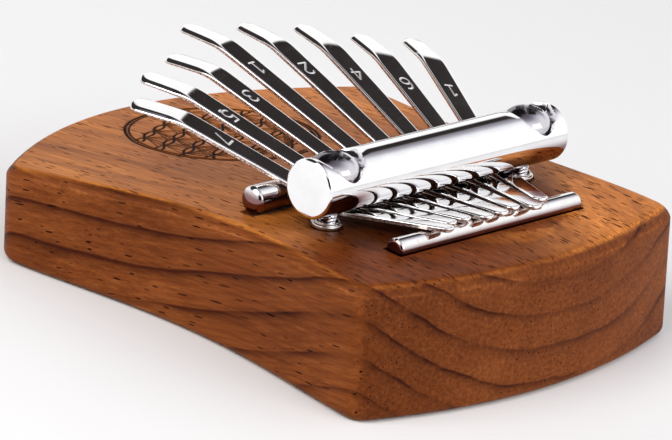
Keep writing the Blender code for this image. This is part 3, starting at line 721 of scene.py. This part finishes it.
def build_board():
    half = half_outline()
    n = len(half)
    tang = np.zeros_like(half)
    tang[1:-1] = half[2:] - half[:-2]
    tang[0], tang[-1] = (1, 0), (-1, 0)
    tang /= np.linalg.norm(tang, axis=1)[:, None]
    nor = np.stack([tang[:, 1], -tang[:, 0]], 1)
    ring = np.concatenate([half, half[-2:0:-1] * (-1, 1)])
    rnor = np.concatenate([nor, nor[-2:0:-1] * (-1, 1)])
    N = len(ring)

    # each section: inset, z offset, which surface it hangs on, edge value
    rows = []
    steps = 12
    for k in range(1, steps + 1):                       # top rounding, from the top outwards
        a = math.pi / 2 * k / steps
        rows.append(("top", TOP_ROUND * (1 - math.sin(a) ** 1.35), TOP_ROUND * (1 - math.cos(a) ** 1.35), 0.0))
    for k in range(1, 10):                              # upright wall
        rows.append(("wall", 0.0, k / 10, 0.0))
    steps = 6
    for k in range(0, steps + 1):                       # bottom rounding
        a = math.pi / 2 * k / steps
        rows.append(("under", UNDER_ROUND * (1 - math.cos(a)), UNDER_ROUND * (1 - math.sin(a)), 0.6 * math.sin(2 * a) ** 2))

    verts, faces = [], []
    inner = ring - rnor * TOP_ROUND
    rel = inner - ROS
    dist = np.linalg.norm(rel, axis=1)
    direc = rel / dist[:, None]
    radii = [0.5, 1.0, 1.5, 2.0, 2.5, 3.0] + list(np.arange(3.22, 21.3, 0.22))
    R0 = radii[-1]
    verts.append(np.array([[ROS[0], ROS[1], 0.0]]))
    for r in radii:
        q = ROS + direc * r
        verts.append(np.column_stack([q, np.zeros(N)]))
    outer = 44
    for k in range(1, outer + 1):
        t = k / outer
        q = ROS + direc * (R0 + (dist - R0) * t)[:, None]
        verts.append(np.column_stack([q, np.zeros(N)]))
    flat = np.concatenate(verts)
    flat[:, 2] = top_z(flat[:, 1])
    body = [flat]
    for kind, inset, off, e in rows:
        q = ring - rnor * inset
        zt, zu = top_z(q[:, 1]), under_z(q[:, 1])
        if kind == "top":
            z = zt - off
        elif kind == "under":
            z = zu + off
        else:
            z = (zt - TOP_ROUND) * (1 - off) + (zu + UNDER_ROUND) * off
        body.append(np.column_stack([q, z]))
    P = np.concatenate(body)
    total = len(radii) + outer + len(rows)
    for j in range(N):
        faces.append((0, 1 + j, 1 + (j + 1) % N))
    for k in range(total - 1):
        a, b = 1 + k * N, 1 + (k + 1) * N
        for j in range(N):
            m = (j + 1) % N
            faces.append((a + j, b + j, b + m, a + m))
    last = 1 + (total - 1) * N
    idx = [last + j for j in range(N)]
    # flat underside: strips from left to right
    faces.append((idx[0], idx[N - 1], idx[1]))
    for k in range(1, n - 2):
        faces.append((idx[k], idx[N - k], idx[N - k - 1], idx[k + 1]))
    faces.append((idx[n - 2], idx[N - n + 2], idx[n - 1]))
    ob = add_mesh("wood_board", board_to_world(P), faces, [WOOD])
    face_out(ob)
    return ob


FRONT_R, FRONT_LEN, BACK_R, BACK_LEN = 2.23, 54.0, 2.90, 73.5
GAP = 0.30
SCREW_X, FLANGE_R, BARREL_R, BARREL_LEN, SPOT = 28.5, 3.15, 2.7, 11.0, 0.25
BAR_R, BAR_LEN = 6.0, 71.0
LEAN = CLAMP - math.atan(TOP_SLOPE)
WOOD_LEVEL = -BAR_Z * math.cos(math.atan(TOP_SLOPE)) / math.cos(LEAN)
SEAT = WOOD_LEVEL - SPOT

board = build_board()
for y, z, r, length in ((FRONT_Y, FRONT_Z, FRONT_R + GAP, FRONT_LEN + 1.0), (BACK_Y, BACK_Z, BACK_R + GAP, BACK_LEN + 1.0)):
    v, f = lathe([(-length / 2, 0), (-length / 2, r - 0.3), (-length / 2 + 0.3, r), (length / 2 - 0.3, r), (length / 2, r - 0.3), (length / 2, 0)], 96, "X")
    cutter = add_mesh("cutter", board_to_world(v + np.array([0, y, z])), f)
    face_out(cutter)
    boolean(board, cutter)
for side in (-1, 1):
    v, f = lathe([(SEAT - BARREL_LEN - 3, 0), (SEAT - BARREL_LEN - 3, BARREL_R + GAP), (SEAT, BARREL_R + GAP), (SEAT, FLANGE_R + 0.4), (SEAT + 4, FLANGE_R + 0.4), (SEAT + 4, 0)], 72)
    cutter = add_mesh("cutter", board_to_world(clamp_to_board(v, side * SCREW_X)), f)
    face_out(cutter)
    boolean(board, cutter)

# masks from the finished shape: burnt drawing, rounded edges, grooves
pb = world_to_board(coords(board))
on_top = np.abs(pb[:, 2] - top_z(pb[:, 1])) < 0.05
r_ros = np.linalg.norm(pb[:, :2] - ROS, axis=1)
pick = np.where(on_top & (r_ros < ROS_R + 1.0))[0]
burn = np.zeros(len(pb))
toast = np.zeros(len(pb))
b, t = stroke_field(pb[pick, :2] - ROS, rosette_strokes(), 0.38)
burn[pick], toast[pick] = b, t
pb[pick, 2] -= 0.13 * b
drop_top = top_z(pb[:, 1]) - pb[:, 2]
rise_under = pb[:, 2] - under_z(pb[:, 1])
half = half_outline()
ring = np.concatenate([half, half[-2:0:-1] * (-1, 1)])
near_wall = np.zeros(len(pb))
for s in range(0, len(pb), 4000):
    d = np.linalg.norm(pb[s:s + 4000, None, :2] - ring[None], axis=2).min(1)
    near_wall[s:s + 4000] = d
# edge marks the bands along the rounded edges that the wood material paints as highlight lines and worn spots
edge = (0.75 * np.exp(-((drop_top - 0.30) / 0.28) ** 2) + np.exp(-((drop_top - 1.85) / 0.33) ** 2)) * (near_wall < 2.1) + 0.6 * np.exp(-((rise_under - 0.5) / 0.5) ** 2) * (near_wall < 1.7)
in_front = np.hypot(pb[:, 1] - FRONT_Y, pb[:, 2] - FRONT_Z) < FRONT_R + GAP + 0.02
in_back = np.hypot(pb[:, 1] - BACK_Y, pb[:, 2] - BACK_Z) < BACK_R + GAP + 0.02
# groove marks the rod grooves, which the wood material darkens as painted shade
groove = ((in_front & (np.abs(pb[:, 0]) < FRONT_LEN / 2 + 0.6)) | (in_back & (np.abs(pb[:, 0]) < BACK_LEN / 2 + 0.6))) & (drop_top > 0.02)
lo, hi = (np.array(v, float) for v in CAD_BOX)
set_coords(board, np.clip(board_to_world(pb), lo, hi))
attribute(board, "burn", burn)
attribute(board, "toast", toast)
attribute(board, "edge", edge)
attribute(board, "groove", groove.astype(float))
board.data.shade_smooth()
board.data.set_sharp_from_angle(angle=math.radians(38))
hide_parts("board_body")
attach(board, "frame")


# ------------------------------------------------------------------ clamp bar
def build_bar():
    h, c = BAR_LEN / 2, 0.45
    end = rounded([(-h, 0), (-h, BAR_R - c), (-h + c, BAR_R), (0, BAR_R)], [0, 0.22, 0.22, 0], 4)
    prof = end[:-1] + [(-h + c + k * (BAR_LEN - 2 * c) / 24, BAR_R) for k in range(1, 24)] + [(-a, r) for a, r in reversed(end[:-1])]
    v, f = lathe(prof, 144, "X")
    ob = add_mesh("round_clamp_bar", board_to_world(clamp_to_board(v)), f, [BAR_CHROME])
    face_out(ob)
    for side in (-1, 1):
        v, f = lathe([(-BAR_R - 1, 0), (-BAR_R - 1, 2.35), (1.3, 2.35), (1.6, 2.65), (1.6, 5.2), (2.0, 5.6), (BAR_R + 2, 5.6), (BAR_R + 2, 0)], 128)
        cutter = add_mesh("cutter", board_to_world(clamp_to_board(v, side * SCREW_X)), f)
        face_out(cutter)
        boolean(ob, cutter)
    bevel_edges(ob, 0.00016, 2, 28)
    ob.data.shade_smooth()
    ob.data.set_sharp_from_angle(angle=math.radians(40))
    return ob


bar = build_bar()
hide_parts("clamp_bar")
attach(bar, "frame")

# ------------------------------------------------------------------ bridge rods
h = FRONT_LEN / 2
end = rounded([(-h, 0), (-h, FRONT_R - 0.5), (-h + 0.5, FRONT_R), (0, FRONT_R)], [0, 0.28, 0.28, 0], 5)
prof = end[:-1] + [(-h + 0.8 + k * (2 * h - 1.6) / 16, FRONT_R) for k in range(17)] + [(-a, r) for a, r in reversed(end[:-1])]
v, f = lathe(prof, 96, "X")
front = add_mesh("front_rod_polished", board_to_world(v + np.array([0, FRONT_Y, FRONT_Z])), f, [ROD_CHROME])
face_out(front)
front.data.shade_smooth()
front.data.set_sharp_from_angle(angle=math.radians(50))
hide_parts("front_bridge_rod")
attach(front, "frame")

h, dome = BACK_LEN / 2, 1.6
end = [(-(h - dome + dome * math.cos(a)), BACK_R * math.sin(a)) for a in (math.pi / 2 * k / 18 for k in range(19))]
end[0] = (-h, 0.0)
prof = end + [(-h + dome + k * (2 * h - 2 * dome) / 18, BACK_R) for k in range(1, 18)] + [(-a, r) for a, r in reversed(end)]
v, f = lathe(prof, 96, "X")
back = add_mesh("back_rod_polished", board_to_world(v + np.array([0, BACK_Y, BACK_Z])), f, [ROD_CHROME])
face_out(back)
back.data.shade_smooth()
back.data.set_sharp_from_angle(angle=math.radians(60))
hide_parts("back_bridge_rod")
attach(back, "frame")

# ------------------------------------------------------------------ screws and inserts
HEAD_R, HEAD_TOP, SHANK_R, SCREW_END, POCKET_FLOOR = 5.05, 6.4, 2.0, -19.5, 1.6
HEAD_UNDER = POCKET_FLOOR + GAP
PITCH = 0.7


def thread(z, t, r):
    """V thread cut into the shank below the head."""
    if r < SHANK_R - 1e-6 or r > SHANK_R + 1e-6 or z > HEAD_UNDER - 1.5:
        return r
    s = (z / PITCH - t / (2 * math.pi)) % 1.0
    return r - 0.27 * (1.0 - abs(2 * s - 1.0))


def build_screw(side):
    prof = [(SCREW_END, 0), (SCREW_END, SHANK_R - 0.7), (SCREW_END + 0.6, SHANK_R - 0.3)]
    z = SCREW_END + 0.9
    while z < HEAD_UNDER - 0.05:
        prof.append((z, SHANK_R))
        z += PITCH / 6
    prof += [(HEAD_UNDER, SHANK_R - 0.001), (HEAD_UNDER, HEAD_R - 0.28), (HEAD_UNDER + 0.06, HEAD_R - 0.10),
             (HEAD_UNDER + 0.2, HEAD_R - 0.02), (HEAD_UNDER + 0.35, HEAD_R), (HEAD_UNDER + 0.8, HEAD_R)]
    rise = HEAD_TOP - (HEAD_UNDER + 0.9)
    for k in range(0, 22):
        a = math.pi / 2 * k / 22
        prof.append((HEAD_UNDER + 0.9 + rise * math.sin(a), HEAD_R * math.cos(a)))
    prof.append((HEAD_TOP, 0))
    v, f = lathe(prof, 96, twist=thread)
    ob = add_mesh("cross_screw_" + ("left" if side < 0 else "right"), board_to_world(clamp_to_board(v, side * SCREW_X)), f, [SCREW_STEEL])
    face_out(ob)
    w, s, d = 1.85 / 2, 3.1, 2.4
    plus = [(s, -w), (s, w), (w, w), (w, s), (-w, s), (-w, w), (-s, w), (-s, -w), (-w, -w), (-w, -s), (w, -s), (w, -w)]
    turn = math.radians(20.0 if side < 0 else 52.0)
    c, n = math.cos(turn), math.sin(turn)
    rv = []
    levels = ((HEAD_TOP + 0.6, 1.0, 1.0), (HEAD_TOP - 0.6 * d, 0.80, 0.86), (HEAD_TOP - d, 0.62, 0.62))
    for z, k, kw in levels:
        for x, y in plus:
            x = x * k if abs(x) > w + 1e-6 else x * kw
            y = y * k if abs(y) > w + 1e-6 else y * kw
            rv.append((x * c - y * n, x * n + y * c, z))
    rf = [tuple(range(12)), tuple(reversed(range(24, 36)))]
    for b0 in (0, 12):
        rf += [(b0 + k, b0 + (k + 1) % 12, b0 + 12 + (k + 1) % 12, b0 + 12 + k) for k in range(12)]
    cutter = add_mesh("cutter", board_to_world(clamp_to_board(np.array(rv), side * SCREW_X)), rf)
    face_out(cutter)
    boolean(ob, cutter)
    pc = world_to_board(coords(ob))
    q = pc - np.array([side * SCREW_X, 0.0, BAR_Z])
    zc = -q[:, 1] * sC + q[:, 2] * cC
    yc = q[:, 1] * cC + q[:, 2] * sC
    rc = np.hypot(q[:, 0], yc)
    dome_z = HEAD_UNDER + 0.9 + (HEAD_TOP - HEAD_UNDER - 0.9) * np.sqrt(np.clip(1 - (rc / HEAD_R) ** 2, 0, 1))
    # the bottom of the driver recess, which the screw material darkens as painted shade
    attribute(ob, "recess_shade", ((rc < 3.5) & (zc < dome_z - 0.25) & (zc < HEAD_TOP - 1.25) & (zc > HEAD_TOP - 2.9)).astype(float))
    ob.data.shade_smooth()
    ob.data.set_sharp_from_angle(angle=math.radians(32))
    return ob


COLLAR_R, COLLAR_T, FLANGE_T = 2.6, 0.45, 0.95


def build_insert(side):
    bore = SHANK_R + GAP
    base = SEAT + GAP
    raw = [(base - BARREL_LEN, bore), (base - BARREL_LEN, BARREL_R), (base, BARREL_R), (base, FLANGE_R), (base + FLANGE_T, FLANGE_R),
           (base + FLANGE_T, COLLAR_R), (base + FLANGE_T + COLLAR_T, COLLAR_R), (base + FLANGE_T + COLLAR_T, bore), (base - BARREL_LEN, bore)]
    rad = [0, 0.25, 0, 0.30, 0.34, 0.12, 0.20, 0.10, 0]
    prof = rounded(raw, rad, 5)
    v, f = lathe(prof, 96)
    ob = add_mesh("flanged_insert_" + ("left" if side < 0 else "right"), board_to_world(clamp_to_board(v, side * SCREW_X)), f, [INSERT_STEEL])
    face_out(ob)
    ob.data.shade_smooth()
    ob.data.set_sharp_from_angle(angle=math.radians(50))
    return ob


for side, tag in ((-1, "left"), (1, "right")):
    screw = build_screw(side)
    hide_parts("clamp_screw_" + tag)
    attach(screw, "frame")
    ins = build_insert(side)
    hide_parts("threaded_insert_" + tag)
    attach(ins, "frame")

# ------------------------------------------------------------------ tines
TINE_T = 1.0
TINE_X = (-22.59, -16.60, -10.19, -4.05, 2.63, 9.24, 15.96, 22.53)
TINE_FAN = (-21.3, -15.64, -8.63, -3.2, 3.71, 10.42, 16.85, 24.5)
TINE_RISE = 0.42
HEEL_END = (-19.8, -17.6, -17.5, -19.3, -19.2, -18.0, -20.1, -17.3)
HEEL_W, TINE_W, TIP_W, TIP_BEND = 3.3, 4.5, 5.5, 13.8
TIP_ANGLE = (7.1, 8.35, 3.1, 6.5, 6.7, 9.7, 9.1, 5.7)
TIP_KNEE = 0.36
TONGUE_REACH = (47.3, 52.3, 55.8, 61.9, 59.0, 55.5, 50.8, 49.0)
DIGIT_RUN = (27.8, 32.5, 35.6, 42.2, 39.2, 35.2, 30.6, 27.0)
DIGITS = "75312461"
WRAP = BAR_R + GAP + TINE_T / 2
RISE = math.atan(TINE_RISE)
HEEL_MID = FRONT_Z + FRONT_R + GAP + TINE_T / 2
HEEL_SLOPE = (BAR_Z - WRAP - HEEL_MID) / -FRONT_Y
PIVOT_Y = BACK_Y - BACK_R * math.sin(RISE)


def middle_z(y):
    y_a = WRAP * math.sin(math.atan(HEEL_SLOPE))
    y_b = WRAP * math.sin(RISE)
    if y < y_a:
        return BAR_Z - math.sqrt(WRAP ** 2 - y_a ** 2) + HEEL_SLOPE * (y - y_a)
    if y > y_b:
        return BAR_Z - math.sqrt(WRAP ** 2 - y_b ** 2) + TINE_RISE * (y - y_b)
    return BAR_Z - math.sqrt(WRAP ** 2 - y * y)


def bend_share(t):
    if t < TIP_KNEE:
        return 0.85 * (0.5 - 0.5 * math.cos(math.pi * t / TIP_KNEE))
    return 0.85 + 0.15 * (t - TIP_KNEE) / (1.0 - TIP_KNEE)


def arc_points(cx, cy, rx, ry, a0, a1, n=14):
    return [(cx + rx * math.cos(math.radians(a0 + (a1 - a0) * k / n)), cy + ry * math.sin(math.radians(a0 + (a1 - a0) * k / n))) for k in range(n + 1)]


def glyph(d):
    """Strokes of a digit in a box about 2.4 wide and 4.0 tall, centred on the origin."""
    W, H = 1.15, 2.0
    if d == "1":
        return [[(-0.75, 1.35), (0.05, H), (0.05, -H)], [(-0.85, -H), (0.95, -H)]]
    if d == "2":
        return [arc_points(0, 0.95, W * 0.95, 1.05, 165, -25) + [(-W, -H), (W, -H)]]
    if d == "3":
        return [arc_points(-0.1, 1.0, 1.1, 1.0, 150, -70), arc_points(-0.1, -0.95, 1.2, 1.05, 75, -150)]
    if d == "4":
        return [[(0.55, -H), (0.55, H), (-W, -0.75), (1.25, -0.75)]]
    if d == "5":
        return [[(1.0, H), (-0.75, H), (-0.9, 0.35)] + arc_points(-0.1, -0.75, 1.2, 1.22, 125, -145)]
    if d == "6":
        return [arc_points(0.15, 0.2, 1.35, 1.95, 75, 190) + arc_points(0.0, -0.85, 1.15, 1.15, 170, -190, 22)]
    if d == "7":
        return [[(-W, H - 0.1), (W, H - 0.1), (-0.35, -H)]]
    return []


def build_tine(i):
    fan = math.radians(TINE_FAN[i])
    ca, sa = math.cos(fan), math.sin(fan)
    heel_end = HEEL_END[i]
    reach = TONGUE_REACH[i]
    tip_angle = math.radians(TIP_ANGLE[i])
    run0 = PIVOT_Y / ca
    slope0 = math.atan(TINE_RISE * ca)
    bend_run = reach - TIP_BEND * 0.97

    # centre line: run, height, slope, finely spaced
    path = []
    ys = list(np.concatenate([np.linspace(0, 1, 13) ** 1.6 * 1.9 + heel_end, np.arange(heel_end + 2.4, -1.0, 0.7), np.arange(-0.8, 4.2, 0.22), np.arange(4.6, bend_run * ca - 0.01, 0.75)]))
    digit_run = DIGIT_RUN[i]
    # closer stations where the number is stamped
    fine = np.arange((digit_run - 2.45) * ca, (digit_run + 2.45) * ca, 0.088)
    ys = sorted([y for y in ys if not fine[0] - 0.3 < y < fine[-1] + 0.3] + list(fine))
    for y in ys:
        s = math.atan((middle_z(y + 0.01) - middle_z(y - 0.01)) / 0.02 * ca)
        path.append((y / ca, middle_z(y), s))
    run, height = bend_run, middle_z(bend_run * ca)
    path.append((run, height, slope0))
    steps = 60
    arc = TIP_BEND / steps
    for j in range(steps):
        a = slope0 + (tip_angle - slope0) * bend_share((j + 0.5) / steps)
        run += arc * math.cos(a)
        height += arc * math.sin(a)
        path.append((run, height, slope0 + (tip_angle - slope0) * bend_share((j + 1) / steps)))
    path = np.array(path)
    seglen = np.r_[0, np.cumsum(np.hypot(np.diff(path[:, 0]), np.diff(path[:, 1])))]
    total = seglen[-1]
    # extra stations close to both ends so that the noses turn smoothly
    extra = [total - d for d in (0.02, 0.06, 0.12, 0.2, 0.3, 0.45)] + [d for d in (0.02, 0.06, 0.12, 0.2, 0.3)]
    s_all = np.unique(np.round(np.concatenate([seglen, extra]), 4))
    keep = np.r_[True, np.diff(s_all) > 0.015]
    s_all = s_all[keep]
    run_s, h_s, sl_s = (np.interp(s_all, seglen, path[:, k]) for k in range(3))

    M = 52
    verts, stamp, burrs, faces = [], [], [], []
    last_run = path[-1, 0]
    strokes = []
    for st in glyph(DIGITS[i]):
        for p0, p1 in zip(st, st[1:]):
            strokes.append((0.86 * p0[0], 0.90 * p0[1], 0.86 * p1[0], 0.90 * p1[1], 0.125, 1.0))
    if i == 1:
        strokes.append((0.2, -2.1, 0.75, -2.1, 0.22, 1.0))
    strokes = np.array(strokes)
    digit_s = np.interp(digit_run, run_s, s_all)
    K = None
    for s, rn, hh, sl in zip(s_all, run_s, h_s, sl_s):
        y = rn * ca
        d_tail, d_nose = s, total - s
        if y < 0:
            w = HEEL_W + (TINE_W - HEEL_W) * (y - heel_end) / -heel_end
        else:
            w = TINE_W + (TIP_W - TINE_W) * min(1.0, max(0.0, (rn - run0) / (last_run - run0)))
        hw = w / 2
        nose, tail = TIP_W / 2, HEEL_W / 2
        if d_nose < nose:
            q = 1 - d_nose / nose
            hw *= max(0.07, max(0.0, 1 - q ** 2.3) ** (1 / 2.3))
        if d_tail < tail:
            q = 1 - d_tail / tail
            hw *= max(0.07, max(0.0, 1 - q ** 2.1) ** (1 / 2.1))
        th = TINE_T
        e = min(d_nose, d_tail)
        if e < 0.42:
            q = 1 - e / 0.42
            th *= max(0.30, math.sqrt(max(0.0, 1 - q * q)))
        # hammered tip: a little thinner towards the nose, with a soft crown
        flat_tip = max(0.0, 1 - d_nose / TIP_BEND)
        th *= 1 - 0.10 * flat_tip
        rx, rz, rb = min(0.58 + 0.42 * flat_tip, hw * 0.45), min(0.25 + 0.15 * flat_tip, th * 0.40), min(0.15, th * 0.2)
        # the left edge of the tip is hammered to a broad bevel
        bevelled = min(1.0, 2.6 * flat_tip)
        lx, lz, lp = min(0.58 + 0.48 * bevelled, hw * 0.5), min(0.25 + 0.27 * bevelled, th * 0.55), 1.0 + 0.45 * bevelled
        ht = th / 2
        crown = 0.03 + 0.03 * flat_tip
        sect, burr = [], []
        for k in range(M + 1):
            u = -1 + 2 * k / M
            sect.append((u * (hw - (rx if u > 0 else lx)), ht - crown * u * u))
            burr.append(0.0)
        zt = ht - crown
        right, left = [], []
        for k in range(1, 8):
            a = math.pi / 2 * k / 7
            right.append((hw - rx + rx * math.sin(a), zt - rz + rz * math.cos(a), 0.0))
            left.append((hw - lx + lx * math.sin(a) ** lp, zt - lz + lz * math.cos(a) ** lp if k < 7 else zt - lz, 0.0))
        lowz = -ht + rb
        midz = (zt - rz) * 0.82 + lowz * 0.18
        for flank, low in ((right, midz), (left, min(midz, (zt - lz) * 0.82 + lowz * 0.18))):
            flank += [(hw - 0.01 * (th > 0.6), low, 0.0), (hw - 0.03 * (th > 0.6), low - 0.03, 1.0)]
            for k in range(0, 4):
                a = math.pi / 2 * k / 3
                flank.append((hw - rb + rb * math.cos(a) - 0.03 * (th > 0.6), lowz - rb * math.sin(a), 1.0))
        for q in right:
            sect.append(q[:2])
            burr.append(q[2])
        sect.append((0.0, -ht))
        burr.append(0.3)
        for q in reversed(left):
            sect.append((-q[0], q[1]))
            burr.append(q[2])
        K = len(sect)
        c, sn = math.cos(sl), math.sin(sl)
        sect = np.array(sect)
        mark = np.zeros(K)
        if abs(s - digit_s) < 2.75:
            gx = -sect[:M + 1, 0]
            gy = -np.full(M + 1, s - digit_s)
            bb, _ = stroke_field(np.column_stack([gx, gy]), strokes, 0.3)
            mark[:M + 1] = bb
            sect[:M + 1, 1] -= 0.11 * bb
        # the bends run parallel to the bar, so a fanned tine also leans sideways
        if y < PIVOT_Y:
            lean = np.array([middle_z(y - w_ * sa) for w_ in sect[:, 0]]) - middle_z(y)
        else:
            lean = -TINE_RISE * sa * sect[:, 0]
        verts.append(np.column_stack([sect[:, 0], rn - sn * sect[:, 1], hh + c * sect[:, 1] + lean]))
        stamp.append(mark)
        burrs.append(burr)
    rows = len(verts)
    V = np.concatenate(verts)
    for k in range(rows - 1):
        a, b = K * k, K * (k + 1)
        for j in range(K):
            n = (j + 1) % K
            faces.append((a + j, a + n, b + n, b + j))
    faces.append(tuple(reversed(range(K))))
    faces.append(tuple(range(K * (rows - 1), K * rows)))
    # turn by the fan angle about Z and move under the bar
    cf, sf = math.cos(-fan), math.sin(-fan)
    P = np.column_stack([V[:, 0] * cf - V[:, 1] * sf + TINE_X[i], V[:, 0] * sf + V[:, 1] * cf, V[:, 2]])
    tag = "tine_%d" % (i + 1)
    ob = add_mesh(tag + "_steel", board_to_world(P), faces, [TINE_STEEL])
    face_out(ob)
    attribute(ob, "stamp", np.concatenate(stamp))
    attribute(ob, "burr", np.concatenate(burrs))
    ob.data.shade_smooth()
    ob.data.set_sharp_from_angle(angle=math.radians(62))
    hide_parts(tag + "_heel", tag + "_tongue")

    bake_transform(ob)
    return ob


for i in range(8):
    build_tine(i)

# ------------------------------------------------------------------ floor, light, camera
me = bpy.data.meshes.new("pale_floor")
S = 2.5
me.from_pydata([(-S, -S, -0.0002), (S, -S, -0.0002), (S, S, -0.0002), (-S, S, -0.0002)], [], [(0, 1, 2, 3)])
floor = bpy.data.objects.new("pale_floor", me)
bpy.context.scene.collection.objects.link(floor)
fm, g, bsdf, obj = new_material("pale_floor_paint")
fn = g.noise(g.scale(obj, (6.0, 6.0, 6.0)), 1.0, 3.0, 0.5)
g.put(bsdf.inputs["Base Color"], g.mix(fn, (0.90, 0.90, 0.895, 1.0), (0.93, 0.93, 0.925, 1.0)))
bsdf.inputs["Roughness"].default_value = 0.6
bsdf.inputs["Specular IOR Level"].default_value = 0.2
me.materials.append(fm)
floor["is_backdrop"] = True

world = bpy.data.worlds.new("studio_tent")
bpy.context.scene.world = world
world.use_nodes = True
g = Nodes(world)
bg = world.node_tree.nodes["Background"]
direction = g.new("ShaderNodeTexCoord").outputs["Generated"]
x, y, z = g.xyz(direction)
az = g.math("MULTIPLY", g.math("ARCTAN2", y, x), 180 / math.pi)
el = g.math("MULTIPLY", g.math("ARCSINE", z), 180 / math.pi)
# a dark gap between two white walls of the tent: sharp on one side, fading on the other
wall = g.ramp(g.math("DIVIDE", g.math("ADD", az, 30.0), 80.0), [
    (0.10, (1.0, 1.0, 1.0)), (0.28, (0.88, 0.88, 0.91)), (0.36, (0.74, 0.74, 0.78)), (0.46, (0.44, 0.43, 0.48)),
    (0.545, (0.30, 0.285, 0.325)), (0.620, (0.20, 0.185, 0.21)), (0.665, (0.035, 0.030, 0.030)), (0.785, (0.022, 0.018, 0.017)),
    (0.815, (0.05, 0.045, 0.045)), (0.842, (1.0, 1.0, 1.0))])
low = g.step(el, 20.0, 29.0)
high = g.math("SUBTRACT", 1.0, g.step(el, 58.0, 84.0))
sky = g.ramp(g.math("DIVIDE", g.math("ADD", el, 90.0), 180.0), [(0.50, (1.0, 1.0, 1.0)), (0.74, (1.0, 1.0, 1.0)), (0.84, (0.66, 0.64, 0.70)), (0.92, (0.40, 0.385, 0.43)), (1.0, (0.34, 0.33, 0.37))])
seen = g.mix(g.math("MULTIPLY", low, high), sky, g.mix(1.0, wall, sky, "MULTIPLY"))
# a dark overhead gap and a thin dark line at the foot of the walls
gap = g.math("MULTIPLY", g.math("MULTIPLY", g.step(az, 46.0, 53.0), g.math("SUBTRACT", 1.0, g.step(az, 128.0, 146.0))),
             g.math("MULTIPLY", g.step(el, 24.0, 31.0), g.math("SUBTRACT", 1.0, g.step(el, 66.0, 80.0))))
seen = g.mix(gap, seen, (0.030, 0.026, 0.026, 1.0))
foot = g.math("MULTIPLY", g.math("MULTIPLY", g.step(az, 33.0, 37.0), g.math("SUBTRACT", 1.0, g.step(az, 62.0, 75.0))),
              g.math("MULTIPLY", g.step(el, -6.0, -2.0), g.math("SUBTRACT", 1.0, g.step(el, 4.0, 7.0))))
seen = g.mix(g.math("MULTIPLY", foot, 0.8), seen, (0.20, 0.19, 0.20, 1.0))
behind = g.math("MULTIPLY", g.math("SUBTRACT", 1.0, g.step(g.math("ABSOLUTE", g.math("ADD", az, 140.0)), 14.0, 24.0)),
                g.math("MULTIPLY", g.step(el, 2.0, 10.0), g.math("SUBTRACT", 1.0, g.step(el, 34.0, 46.0))))
seen = g.mix(behind, seen, (0.020, 0.018, 0.018, 1.0))
g.put(bg.inputs["Color"], seen)
bg.inputs["Strength"].default_value = 1.12


def area(name, place, target, size, power, colour=(1, 1, 1)):
    d = bpy.data.lights.new(name, "AREA")
    d.shape, d.size, d.size_y, d.energy, d.color = "RECTANGLE", size[0], size[1], power, colour
    o = bpy.data.objects.new(name, d)
    bpy.context.scene.collection.objects.link(o)
    o.location = place
    o.rotation_mode = "QUATERNION"
    o.rotation_quaternion = (Vector(target) - Vector(place)).to_track_quat("-Z", "Y")
    return o


key = area("key_softbox", (-0.55, 0.10, 0.60), (0, 0, 0.02), (0.5, 0.5), 3.2, (1.0, 0.985, 0.96))
fill = area("fill_softbox", (0.1, -0.8, 0.45), (0, 0, 0.02), (0.6, 0.4), 1.6, (0.98, 0.99, 1.0))

cam_data = bpy.data.cameras.new("camera")
cam_data.sensor_width = 36.0
cam_data.lens = 267.857
cam_data.clip_start, cam_data.clip_end = 0.01, 20.0
cam = bpy.data.objects.new("camera", cam_data)
bpy.context.scene.collection.objects.link(cam)
right = Vector((0.67917, -0.719548, 0.144839))
up = Vector((0.17266, 0.34842, 0.921296))
back_dir = Vector((-0.71339, -0.60071, 0.36087))
rot = Matrix((right, up, back_dir)).transposed().to_4x4()
cam.matrix_world = Matrix.Translation((-0.72038, -0.607672, 0.378184)) @ rot
bpy.context.scene.camera = cam
bpy.context.scene.view_settings.view_transform = "Standard"
bpy.context.scene.view_settings.look = "None"

lo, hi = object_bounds()
